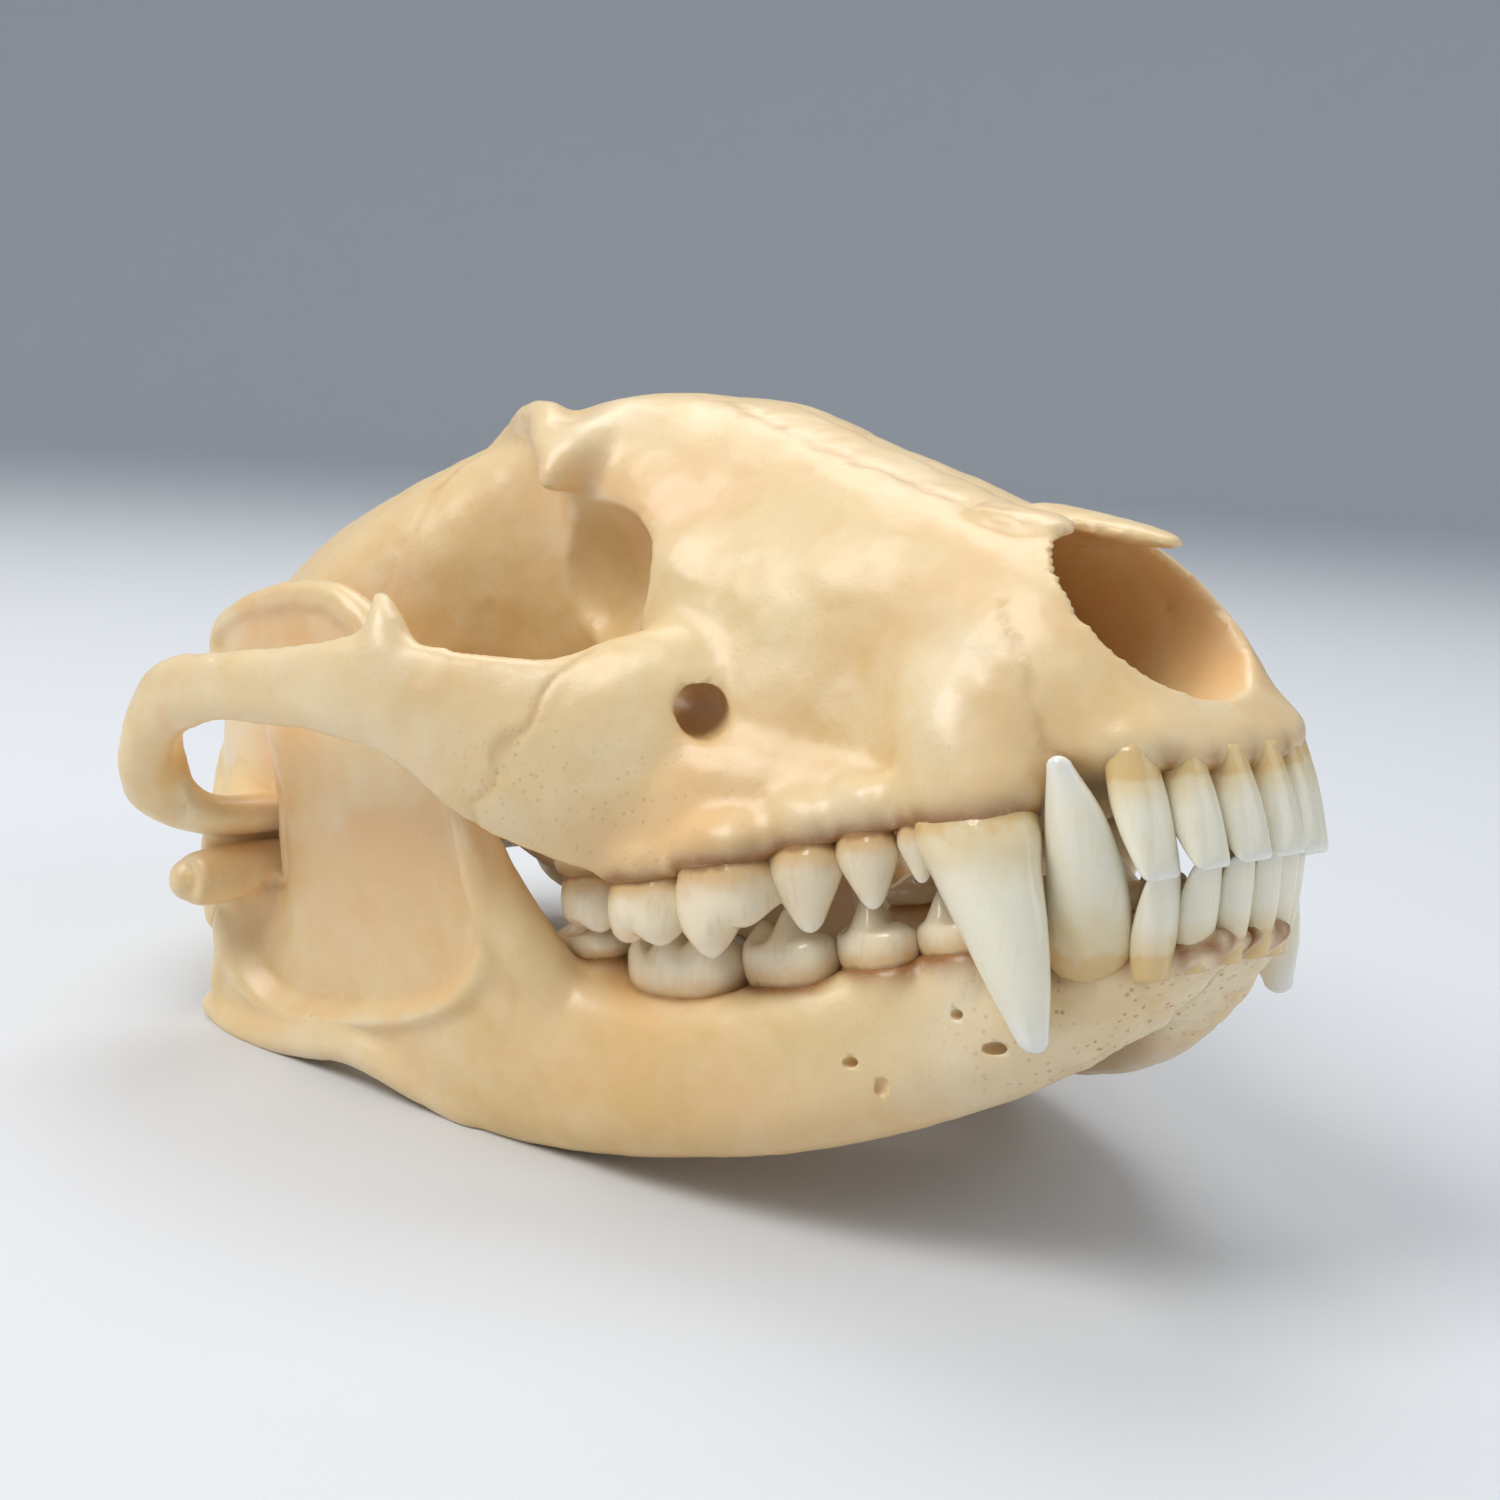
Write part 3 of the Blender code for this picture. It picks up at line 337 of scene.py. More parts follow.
def mirrored(solid):
    """The same solid on the other side of the head."""
    points, faces = solid
    return points * (1, -1, 1), faces[:, ::-1]


def both(*solids):
    """Right-hand solids and their left-hand twins."""
    return [*solids, *map(mirrored, solids)]


def on_side(side, *solids):
    """Right-hand solids, for the side that is asked for."""
    return [mirrored(solid) if side == LEFT else solid for solid in solids]


def case_body():
    """Each section is two half superellipses, above and below the widest level."""
    x, wide, level, top, bottom, upper, lower = smooth_path(CASE_SECTIONS, 8).T[:, :, None]
    turn = full_turn(120)
    rises = np.sin(turn) >= 0
    fullness = np.where(rises, upper, lower)
    reach = np.where(rises, top - level, level - bottom)
    y = wide * rounded(np.cos(turn), fullness)
    z = level + reach * rounded(np.sin(turn), fullness)
    return skin(np.stack([x + 0 * y, y, z], axis=2))


def oval_bar(stations):
    """Ovals along a path, their wide way level and square to the path's plan."""
    rows = smooth_path(stations, 8)
    path, across, up = rows[:, :3], rows[:, 3:4], rows[:, 4:5]
    ahead = np.gradient(path, axis=0)
    ahead[:, 2] = 0.0
    ahead /= np.linalg.norm(ahead, axis=1)[:, None]
    level = np.cross(ahead, (0.0, 0.0, 1.0))
    turn = full_turn(32)
    rings = path[:, None] + (level * across)[:, None] * np.cos(turn)[:, None]
    rings[:, :, 2] += up * np.sin(turn)
    return skin(rings)


def leaning_bar(stations, fullness=2.0):
    """Ovals stacked in Z: half length along X, half width along Y."""
    x, y, z, long, wide = smooth_path(stations, 8).T[:, :, None]
    turn = full_turn(32)
    along = x + long * rounded(np.cos(turn), fullness)
    return skin(np.stack([along, y + wide * rounded(np.sin(turn), fullness), z + 0 * along], axis=2))


def round_bar(points):
    """Circles square to a path, with a quarter circle of shrinking rings past each end."""
    rows = smooth_path(points, 6)
    path, radius = rows[:, :3], rows[:, 3]
    ahead = np.gradient(path, axis=0)
    ahead /= np.linalg.norm(ahead, axis=1)[:, None]
    swell = np.radians((90, 72, 54, 36, 18))
    starts = path[0] - ahead[0] * radius[0] * np.sin(swell)[:, None]
    ends = path[-1] + ahead[-1] * radius[-1] * np.sin(swell[::-1])[:, None]
    shrink = np.maximum(np.cos(swell), 0.02)
    path = np.vstack([starts, path, ends])
    ahead = np.vstack([np.repeat(ahead[:1], 5, axis=0), ahead, np.repeat(ahead[-1:], 5, axis=0)])
    radius = np.concatenate([radius[0] * shrink, radius, radius[-1] * shrink[::-1]])
    axis = np.eye(3)[np.argmin(np.abs(ahead).max(axis=0))]
    out = np.cross(ahead, axis)
    out /= np.linalg.norm(out, axis=1)[:, None]
    other = np.cross(ahead, out)
    turn = full_turn(20)[:, None]
    spokes = out[:, None] * np.cos(turn) + other[:, None] * np.sin(turn)
    return skin(path[:, None] + spokes * radius[:, None, None])


def lump(x, y, z, *half_sizes):
    """An ellipsoid: cosine of latitude round the axis, sine of latitude along it."""
    latitude = np.linspace(-math.pi / 2, math.pi / 2, 25)[1:-1, None]
    turn = full_turn(36)
    out, up = np.cos(latitude), np.sin(latitude)
    ball = np.stack([out * np.cos(turn), out * np.sin(turn), up + 0 * turn], axis=2)
    return skin(ball * half_sizes + (x, y, z))


def jaw_body():
    """Upright superellipses from the rear of the tooth row to the chin."""
    x, y, low, high, half = smooth_path(JAW_BODY, 8).T[:, :, None]
    turn = full_turn(48)
    across = y + half * rounded(np.cos(turn), 2.6)
    rise = (low + high) / 2 + (high - low) / 2 * rounded(np.sin(turn), 2.6)
    return skin(np.stack([x + 0 * across, across, rise], axis=2))


def jaw_plate():
    """Thin leaning superellipses for the rear plate of the lower jaw."""
    x, low, high, y_low, y_high, half = smooth_path(JAW_PLATE, 8).T[:, :, None]
    turn = full_turn(60)
    rise = (1 + rounded(np.sin(turn), 2.0)) / 2
    across = y_low + (y_high - y_low) * rise + half * rounded(np.cos(turn), 3.0)
    return skin(np.stack([x + 0 * across, across, low + (high - low) * rise], axis=2))


def box(low, high):
    """A plain box between two corners, as a skin of two square rings."""
    corners = np.array(((0, 0), (1, 0), (1, 1), (0, 1)))
    low, high = np.array(low), np.array(high)
    ring = np.hstack([low[:2] + corners * (high - low)[:2], np.zeros((4, 1))])
    return skin(np.stack([ring + (0, 0, low[2]), ring + (0, 0, high[2])]))


def collars(rows, sign):
    """Rounded rims of bone round the roots: superellipses that end at the gum, a little wider than the tooth."""
    made = []
    for x, y, z, half_length, half_width in rows:
        a, b = half_length + COLLAR, half_width + COLLAR
        levels = ((0.15, 0.80), (-0.1, 0.93), (-0.7, 1.0), (-COLLAR_DEPTH, 0.98), (-COLLAR_DEPTH - 1.6, 0.7))
        stations = [(x, y, z + sign * rise, a * wide, b * wide) for rise, wide in levels]
        made.append(leaning_bar(stations, fullness=2.4))
    return made


def add_mesh(name, points, faces):
    """A new object with this mesh, at the origin."""
    data = bpy.data.meshes.new(name)
    data.from_pydata(points.tolist(), [], faces)
    data.update()
    piece = bpy.data.objects.new(name, data)
    bpy.context.scene.collection.objects.link(piece)
    return piece


def make_piece(name, solids):
    """One object from many solids, its place in its mesh."""
    counts = np.cumsum([0] + [len(points) for points, faces in solids[:-1]])
    points = to_world(np.vstack([points for points, faces in solids]))
    faces = np.vstack([faces + start for (_, faces), start in zip(solids, counts)])
    return add_mesh(name, points, faces.tolist())


def apply_modifiers(piece):
    """The piece's mesh becomes what its modifiers make, and the modifiers go."""
    graph = bpy.context.evaluated_depsgraph_get()
    finished = bpy.data.meshes.new_from_object(piece.evaluated_get(graph))
    piece.modifiers.clear()
    piece.data = finished


def fuse(piece, voxel, softening):
    """Overlapping solids become one skin on a grid of cubes, and the skin is relaxed."""
    remesh = piece.modifiers.new("fuse", "REMESH")
    remesh.mode = "VOXEL"
    remesh.voxel_size = voxel * MM
    soften = piece.modifiers.new("soften", "SMOOTH")
    soften.factor = 0.5
    soften.iterations = softening
    apply_modifiers(piece)


def join(piece, solids):
    """Adds solids to a piece's mesh, to be fused with it next."""
    extra = make_piece("extra", solids)
    mesh = bmesh.new()
    mesh.from_mesh(piece.data)
    mesh.from_mesh(extra.data)
    mesh.to_mesh(piece.data)
    mesh.free()
    bpy.data.objects.remove(extra)


def cut(piece, solids):
    """The solids are cut out of the piece, each with its own Boolean step."""
    for solid in solids:
        cutter = make_piece("cutter", [solid])
        change = piece.modifiers.new("cut", "BOOLEAN")
        change.operation = "DIFFERENCE"
        change.object = cutter
        change.solver = "MANIFOLD"
        apply_modifiers(piece)
        bpy.data.objects.remove(cutter)


def keep_largest(piece):
    """Only the largest closed surface of the piece stays."""
    mesh = bmesh.new()
    mesh.from_mesh(piece.data)
    unseen = set(mesh.verts)
    groups = []
    while unseen:
        waiting = [unseen.pop()]
        group = []
        while waiting:
            vert = waiting.pop()
            group.append(vert)
            near = {edge.other_vert(vert) for edge in vert.link_edges} & unseen
            unseen -= near
            waiting.extend(near)
        groups.append(group)
    groups.sort(key=len)
    bmesh.ops.delete(mesh, geom=[vert for group in groups[:-1] for vert in group], context="VERTS")
    bmesh.ops.triangulate(mesh, faces=mesh.faces)
    mesh.to_mesh(piece.data)
    mesh.free()


def thin(piece, triangles):
    """Fewer faces, spent where the surface bends."""
    now = sum(len(face.vertices) - 2 for face in piece.data.polygons)
    if now > triangles:
        fewer = piece.modifiers.new("thin", "DECIMATE")
        fewer.ratio = triangles / now
        apply_modifiers(piece)


def mesh_arrays(piece):
    """Vertex places in the skull frame, vertex normals there, and the edges."""
    data = piece.data
    places = np.empty(len(data.vertices) * 3)
    data.vertices.foreach_get("co", places)
    normals = np.empty(len(data.vertices) * 3)
    data.vertex_normals.foreach_get("vector", normals)
    edges = np.empty(len(data.edges) * 2, np.int32)
    data.edges.foreach_get("vertices", edges)
    return to_skull(places.reshape(-1, 3)), normals.reshape(-1, 3) @ TURN, edges.reshape(-1, 2)


def neighbour_mean(values, edges):
    """The mean of each vertex's neighbours, column by column."""
    count = len(values)
    a, b = edges.T
    degree = np.maximum(np.bincount(a, minlength=count) + np.bincount(b, minlength=count), 1)
    sums = [np.bincount(a, column[b], count) + np.bincount(b, column[a], count) for column in values.T]
    return np.stack(sums, axis=1) / degree[:, None]


def convexity(places, normals, edges):
    """How far each vertex stands out of a relaxed copy of the surface: plus on ridges, minus in pits."""
    relaxed = places
    for _ in range(RELAXING):
        relaxed = 0.5 * relaxed + 0.5 * neighbour_mean(relaxed, edges)
    return np.einsum("ij,ij->i", places - relaxed, normals)


def move_vertices(piece, places):
    """Puts the vertices at these places, in the frame of the solids."""
    piece.data.vertices.foreach_set("co", places.ravel())
    piece.data.update()


def push(piece, reach):
    """Every vertex moves along its normal by so many millimetres."""
    places, normals, edges = mesh_arrays(piece)
    move_vertices(piece, to_world(places + normals * reach(places, normals)[:, None]))


def paint(piece, name, values):
    """A number for each vertex, which the materials read."""
    attribute = piece.data.attributes.new(name, "FLOAT", "POINT")
    attribute.data.foreach_set("value", np.asarray(values, np.float32))


def spots(places, rows):
    """The sum of each row's weight times a bell: e to the minus squared distance over squared radius."""
    total = np.zeros(len(places))
    for x, y, z, radius, weight in rows:
        for side in (RIGHT, LEFT):
            gap = (places - (x, -side * y, z)) / radius
            total += weight * np.exp(-(gap**2).sum(axis=1))
    return total


def cusp_height(along, across, cusps, wide, base):
    """Height over a biting face: the fifth-power mean of a low floor and a blunt bell at each cusp."""
    total = (0 * along + base) ** 5
    for dx, dy, height in cusps:
        gap = np.hypot(along - dx, across - dy) / wide
        total = total + (height * np.exp(-(gap**1.8))) ** 5
    return total**0.2


# From the middle of a biting face out to its rim, and down the wall into the socket: share of the
# outline, and share of the fall from the rim to the gum.
CROWN_ROWS = (
    (0.04, 0), (0.16, 0), (0.28, 0), (0.4, 0), (0.52, 0), (0.63, 0), (0.73, 0), (0.82, 0),
    (0.9, 0.03), (0.955, 0.12), (0.985, 0.26), (1, 0.44), (0.995, 0.62), (0.965, 0.8), (0.92, 0.94),
    (0.88, 1.06), (0.85, 1.3), (0.8, 1.6),
)
# A one-pointed tooth from its sunk root to its tip: share of the height, share of the width.
PEG_ROWS = (
    (-0.5, 0.78), (-0.15, 0.84), (0, 0.88), (0.1, 0.96), (0.22, 1), (0.34, 0.96), (0.5, 0.8),
    (0.66, 0.62), (0.8, 0.46), (0.91, 0.32), (0.975, 0.18), (1, 0.04),
)
CUSP_WIDTH = 0.95


def crown(row, sign):
    """A cheek tooth with several points: cusp height over a superellipse, and a wall that falls from its rim."""
    x, y, z, half_length, half_width, cusps = row
    share, fall = np.array(CROWN_ROWS).T[:, :, None]
    turn = full_turn(72)
    along = half_length * share * rounded(np.cos(turn), 2.5)
    across = half_width * share * rounded(np.sin(turn), 2.5)
    inner = np.minimum(share, 0.9) / share
    tips = [(dx, dy, abs(tip - z)) for dx, dy, tip in cusps]
    base = 0.66 * sum(height for dx, dy, height in tips) / len(tips)
    wide = CUSP_WIDTH * half_width
    rise = cusp_height(along * inner, across * inner, tips, wide, base)
    rise = rise * (1 - np.minimum(fall, 1)) - 2.2 * np.maximum(fall - 1, 0)
    return skin(np.stack([x + along, y + across, z + sign * rise], axis=2))


def peg(row):
    """A cheek tooth with one point: ovals stacked from root to tip, which lean towards the tip."""
    x, y, z, half_length, half_width, ((dx, dy, tip),) = row
    rise, wide = smooth_path(PEG_ROWS, 3).T[:, :, None]
    turn = full_turn(40)
    lean = np.clip(rise, 0, 1)
    along = x + dx * lean + half_length * wide * rounded(np.cos(turn), 2.2)
    across = y + dy * lean + half_width * wide * rounded(np.sin(turn), 2.2)
    return skin(np.stack([along, across, z + (tip - z) * rise + 0 * along], axis=2))


def fang(stations):
    """Ovals stacked in Z with a shallow three-sided wave, which gives the enamel its long facets."""
    x, y, z, long, wide = smooth_path(stations, 10).T[:, :, None]
    turn = full_turn(64)
    facet = 1 + 0.018 * np.cos(3 * turn + 0.6) + 0.012 * np.cos(5 * turn)
    along = x + long * facet * np.cos(turn)
    across = y + wide * facet * np.sin(turn)
    rings = np.stack([along, across, z + 0 * along], axis=2)
    tip = rings[-1].mean(axis=0)
    last = rings[-1] - tip
    lead = (rings[-1] - rings[-2]).mean(axis=0)
    lead /= np.linalg.norm(lead)
    reach = np.hypot(long[-1, 0], wide[-1, 0]) * 0.7
    rounds = np.radians((25, 50, 72, 86))
    cap = [tip + last * math.cos(angle) + lead * reach * math.sin(angle) for angle in rounds]
    return skin(np.vstack([rings, np.stack(cap)]))


def incisor(row):
    """A chisel: an oval root that flattens, widens and then rounds to a straight biting edge."""
    x0, y0, z0, x1, y1, z1, half_width, half_depth = row
    shape = ((-0.3, 0.70, 0.9), (0.0, 0.82, 1.0), (0.25, 0.94, 1.0), (0.5, 1.0, 0.86), (0.75, 0.99, 0.62),
             (0.9, 0.95, 0.42), (0.97, 0.88, 0.28), (1.0, 0.72, 0.12))
    share, wide, deep = smooth_path(shape, 4).T[:, :, None]
    turn = full_turn(40)
    along = x0 + (x1 - x0) * share + half_depth * deep * (rounded(np.cos(turn), 2.3) - 0.4)
    across = y0 + (y1 - y0) * share + half_width * wide * rounded(np.sin(turn), 2.6)
    return skin(np.stack([along, across, z0 + (z1 - z0) * share + 0 * along], axis=2))


class Wire:
    """A socket of a shader node, on which Python's operators add Math nodes."""

    def __init__(self, maker, socket):
        self.maker, self.socket = maker, socket

    def _maths(self, operation, *values, clamp=False):
        settings = {"operation": operation, "use_clamp": clamp}
        return self.maker.node("ShaderNodeMath", settings, dict(enumerate(values)))

    def __add__(self, other):
        return self._maths("ADD", self, other)

    def __sub__(self, other):
        return self._maths("SUBTRACT", self, other)

    def __rsub__(self, other):
        return self._maths("SUBTRACT", other, self)

    def __mul__(self, other):
        return self._maths("MULTIPLY", self, other)

    __radd__, __rmul__ = __add__, __mul__

    def above(self, low, high):
        """0 below low, 1 above high, smooth between."""
        ends = {"Value": self, "From Min": low, "From Max": high}
        return self.maker.node("ShaderNodeMapRange", {"interpolation_type": "SMOOTHSTEP"}, ends)

    def clamped(self):
        return self._maths("ADD", self, 0.0, clamp=True)


class Maker:
    """Makes the nodes of one material."""

    def __init__(self, name):
        self.material = bpy.data.materials.new(name)
        self.material.use_nodes = True
        self.tree = self.material.node_tree
        self.shader = self.tree.nodes["Principled BSDF"]

    def node(self, kind, settings=None, inputs=None, output=0):
        """A node of a type, with its settings set first and then its sockets' values or links."""
        made = self.tree.nodes.new(kind)
        for key, value in (settings or {}).items():
            setattr(made, key, value)
        self.feed(made, inputs or {})
        return Wire(self, made.outputs[output])

    def feed(self, node, inputs):
        for key, value in inputs.items():
            if isinstance(value, Wire):
                self.tree.links.new(value.socket, node.inputs[key])
            else:
                node.inputs[key].default_value = value

    def place(self):
        """Object coordinates."""
        return self.node("ShaderNodeTexCoord", output=3)

    def attribute(self, name):
        return self.node("ShaderNodeAttribute", {"attribute_name": name}, output=2)

    def noise(self, where, millimetres, detail=2.0, roughness=0.5, warp=0.0):
        inputs = {"Vector": where, "Scale": 1 / (millimetres * MM), "Detail": detail, "Roughness": roughness}
        return self.node("ShaderNodeTexNoise", None, inputs | {"Distortion": warp})

    def blend(self, share, first, second):
        """Two colours mixed by a share."""
        first, second = (colour if isinstance(colour, Wire) else (*colour[:3], 1.0) for colour in (first, second))
        return self.node("ShaderNodeMix", {"data_type": "RGBA"}, {0: share, 6: first, 7: second}, output=2)

    def finish(self, **inputs):
        """Sets the shader's sockets, by their names with underscores for spaces."""
        self.feed(self.shader, {key.replace("_", " "): value for key, value in inputs.items()})
        return self.material


def bone_material(look):
    """Old cleaned bone: cream with peach and golden patches, painted shade in hollows and deep inside the nose and
    braincase, fine pores.
    """
    m = Maker("old_bone")
    place = m.place()
    cloud = m.noise(place, 14.0, 3.0, 0.55, 0.6)
    mottle = m.noise(place, 4.5, 4.0, 0.6, 0.4)
    grain = m.noise(place, 0.9, 3.0, 0.6)
    fine = m.noise(place, 0.28, 2.0, 0.6)
    cells = m.node("ShaderNodeTexVoronoi", None, {"Vector": place, "Scale": 1 / (0.75 * MM)})
    # Peach and golden are real patches and grease-stain spots, plus painted shade: both rise in hollows and deep
    # inside the nose, golden also inside the braincase.
    peach = (m.attribute("peach") + (cloud - 0.52) * 3.0).clamped()
    golden = (m.attribute("golden") * 1.1 + (mottle - 0.52) * 2.6).clamped()
    pale = (m.attribute("pale") + (m.noise(place, 7.0, 3.0) - 0.55) * 2.8).clamped()
    # This mask is painted shade: it darkens hollows and the deep insides of the nose and braincase towards dark
    # brown, and makes them a little rougher.
    painted_shade = m.attribute("shade_and_pores").clamped()
    stain = (m.attribute("stain") * (mottle + 0.5)).clamped()
    specks = fine.above(0.58, 0.70)
    lines = m.attribute("seam").clamped()
    pores = (1 - cells.above(0.10, 0.26)) * m.attribute("porous").clamped()
    # The dark brown paints shade in hollows, and also the real seam lines and pores.
    layers = (
        (peach, look.peach), (golden * 0.75, look.golden), (pale * 0.7, look.pale), (painted_shade * 0.8, look.shade_and_pores),
        (stain, look.stain), (specks * 0.25, look.golden), (lines * 0.3, look.shade_and_pores), (pores * 0.6, look.shade_and_pores),
    )
    colour = look.cream
    for share, tint in layers:
        colour = m.blend(share, colour, tint)
    height = grain * 0.35 + fine * 0.18 + mottle * 0.5 - pores - lines * 0.6
    bump = m.node("ShaderNodeBump", None, {"Height": height, "Strength": 0.5, "Distance": 0.14 * MM})
    gloss = 0.30 + mottle * 0.18 + m.attribute("porous") * 0.2 + painted_shade * 0.2
    return m.finish(
        Base_Color=colour, Roughness=gloss, Normal=bump, IOR=1.5, Subsurface_Weight=0.12,
        Subsurface_Radius=(1.0, 0.55, 0.3), Subsurface_Scale=1.4 * MM, Coat_Weight=0.3, Coat_Roughness=0.24,
    )


def enamel_material(look, name, kind, edge):
    """Glossy enamel, stained where it leaves the bone and glassy at the tip."""
    body, base, tip = (getattr(look, kind + end) for end in ("", "_base", "_tip"))
    m = Maker(name)
    place = m.place()
    rise = m.attribute("rise")
    wander = (m.noise(place, 1.6, 3.0) - 0.5) * 0.25
    colour = m.blend((rise + wander).above(0.0, 0.42), base, body)
    colour = m.blend((rise + wander * 0.6).above(0.78, 1.05), colour, tip)
    colour = m.blend((1 - (rise + wander * 0.8).above(-0.02, 0.07)) * 0.75, colour, edge)
    lengthwise = m.node("ShaderNodeMapping", None, {"Vector": place, "Scale": (1.0, 1.0, 0.16)})
    lines = m.noise(lengthwise, 0.5, 3.0, 0.6)
    colour = m.blend(lines.above(0.5, 0.8) * 0.35, colour, base)
    height = lines + m.noise(place, 0.5)
    bump = m.node("ShaderNodeBump", None, {"Height": height, "Strength": 0.18, "Distance": 0.1 * MM})
    gloss = 0.11 + lines * 0.10
    return m.finish(
        Base_Color=colour, Roughness=gloss, Normal=bump, IOR=1.6, Subsurface_Weight=0.2,
        Subsurface_Radius=(1.0, 0.8, 0.6), Subsurface_Scale=1.2 * MM,
    )


def floor_material(look):
    """Pale matt paper with a faint cloudiness."""
    m = Maker("floor")
    place = m.place()
    cloud = m.noise(place, 90.0, 3.0)
    colour = m.blend(cloud * 0.3, look.floor, tuple(0.96 * part for part in look.floor))
    return m.finish(Base_Color=colour, Roughness=0.75)


def colour_property(name, description, default):
    return bpy.props.FloatVectorProperty(
        name=name, description=description, subtype="COLOR", size=3, min=0.0, max=1.0, default=default
    )


class SkullLook(bpy.types.PropertyGroup):
    """Colours and sizes of the dressed skull."""

    cream: colour_property("Cream", "The bone's main colour", (0.87, 0.655, 0.355))
    # Also painted into hollows and deep inside the nose as painted shade.
    peach: colour_property("Peach", "Warm patches where the bone is thin", (0.86, 0.55, 0.26))
    # Also painted into hollows and deep inside the nose and braincase as painted shade.
    golden: colour_property("Golden", "Old grease stains in the bone", (0.78, 0.51, 0.19))
    pale: colour_property("Pale", "Bleached and dry bone", (0.91, 0.78, 0.55))
    # A dark brown used for painted shade in hollows and deep inside the nose and braincase, and for the real seams
    # and pores.
    shade_and_pores: colour_property("Pit", "Pits, pores and deep hollows", (0.44, 0.2, 0.06))
    stain: colour_property("Stain", "The line where teeth leave the bone", (0.36, 0.16, 0.05))
    enamel: colour_property("Enamel", "Canines and incisors", (0.93, 0.87, 0.7))
    enamel_base: colour_property("Enamel base", "Canines near the gum", (0.86, 0.7, 0.42))
    enamel_tip: colour_property("Enamel tip", "The glassy end of a tooth", (0.9, 0.89, 0.82))
    molar: colour_property("Molar", "Cheek teeth", (0.9, 0.77, 0.55))
    molar_base: colour_property("Molar base", "Cheek teeth near the gum", (0.72, 0.47, 0.21))
    molar_tip: colour_property("Molar tip", "Cusps of the cheek teeth", (0.94, 0.88, 0.76))
    floor: colour_property("Floor", "The studio floor", (0.74, 0.76, 0.79))
    voxel: bpy.props.FloatProperty(
        name="Grid", description="Cubes that the bone is fused on, in millimetres", default=0.5, min=0.3, max=2.0
    )
    softening: bpy.props.IntProperty(
        name="Softening", description="How often the fused bone is relaxed", default=14, min=0, max=60
    )


RELAXING = 24  # rounds of relaxing a copy of the surface, to tell its ridges from its pits
# Spots on the surface, on both sides: x, y, z, radius, and millimetres outwards or a colour's weight.
BULGES = (
    (98.5, -12, 5.5, 4.6, 0.8), (90, -12.4, 10.5, 5, -0.9), (86, -13.5, 5, 3.4, -0.4), (110, -7.6, 3.4, 2, 0.4),
    (108.8, -10, 2.8, 1.6, 0.5), (105, -10, 4, 2.2, -0.4), (88, -9, 19.5, 6, 0.4), (78.6, -15, 13, 3.6, -0.4),
    (74.6, -14.6, 20, 2.6, 0.5), (66, -6, 34.6, 5, 0.3),
)
PEACH_SPOTS = (
    (84, -14, 4, 8, 0.6), (34, -20, 20, 16, 0.4), (46, -27, -2, 9, 0.9), (98, -11.5, 3, 4, 0.4),
    (70, -12, 24, 7, 0.4), (72, -18, -15, 9, 0.8), (104, -9, 9, 4, 0.5), (91, -11, 14, 5, 0.5),
    (106, -6, 5, 3.6, 0.4),
)
PALE_SPOTS = (
    (96, -11.5, -13, 8, 0.8), (98, -12, 7.5, 4, 0.8), (104, 0, -12, 7, 0.6), (60, -31, 13, 5, 0.6),
    (50, -34, 15, 6, 0.5), (70, -25, 8, 5, 0.5), (63, -12, 31, 4, 0.6), (36, -28, 20, 7, 0.6),
    (40, -28, -13, 6, 0.6), (109, -6, 4, 3, 0.5),
)
GOLDEN_SPOTS = (
    (74, -20, -20, 9, 0.8), (60, -20, -19, 8, 0.7), (27, -35, 8, 7, 0.5), (60, -11, 15, 6, 1),
    (50, -14, 17, 7, 0.7), (46, -16, 26, 7, 0.4), (58, -23, -2, 5, 0.5), (86, -12, 8, 4, 0.4),
)
POROUS_SPOTS = (
    (100, -7, -13.5, 6, 1), (104, -3, -13, 5, 0.8), (68, -24, 6, 5, 0.6), (76, -18.5, 1, 6, 0.5),
)


def seam(places, normals, points):
    """Near a line on the surface: the bell of the sideways distance to a smooth path that noise makes wander."""
    path = smooth_path(points, 24)
    mask = np.zeros(len(places))
    near = ((places > path.min(axis=0) - 3) & (places < path.max(axis=0) + 3)).all(axis=1)
    at, out = places[near], normals[near]
    at = at + 0.6 * np.stack([noise(at, 2.0, seed, 2) for seed in (41, 43, 47)], axis=1)
    gap = at[:, None, :] - path[None, :, :]
    depth = (gap * out[:, None, :]).sum(axis=2)
    aside = np.sqrt(np.maximum((gap**2).sum(axis=2) - depth**2, 0))
    mask[near] = np.exp(-((np.where(np.abs(depth) < 2.5, aside, 9.0).min(axis=1) / 0.34) ** 2))
    return mask


def seams(places, normals, lines):
    """The strongest of the seams of both sides."""
    total = np.zeros(len(places))
    for points in lines:
        for side in (1, -1):
            total = np.maximum(total, seam(places, normals, np.array(points) * (1, side, 1)))
    return total


def socket_stain(places, rows):
    """Near the gum line of each tooth: the bell of the distance to its oval outline."""
    total = np.zeros(len(places))
    for side in (RIGHT, LEFT):
        for x, y, z, half_length, half_width in rows:
            gap = np.hypot((places[:, 0] - x) / half_length, (places[:, 1] + side * y) / half_width) - 1
            level = (places[:, 2] - z) / 1.3
            total = np.maximum(total, np.exp(-((gap * half_width / 0.5) ** 2) - level**2))
    return total


def tooth_feet(canine, gum, incisors, cheek_teeth):
    """Where each tooth leaves the bone, as x, y, z, half length, half width: cheek teeth, incisors, then canine."""
    rows = [row[:5] for row in cheek_teeth] + [(*row[:3], row[7], row[6]) for row in incisors]
    return [*rows, min(canine, key=lambda station: abs(station[2] - gum))]


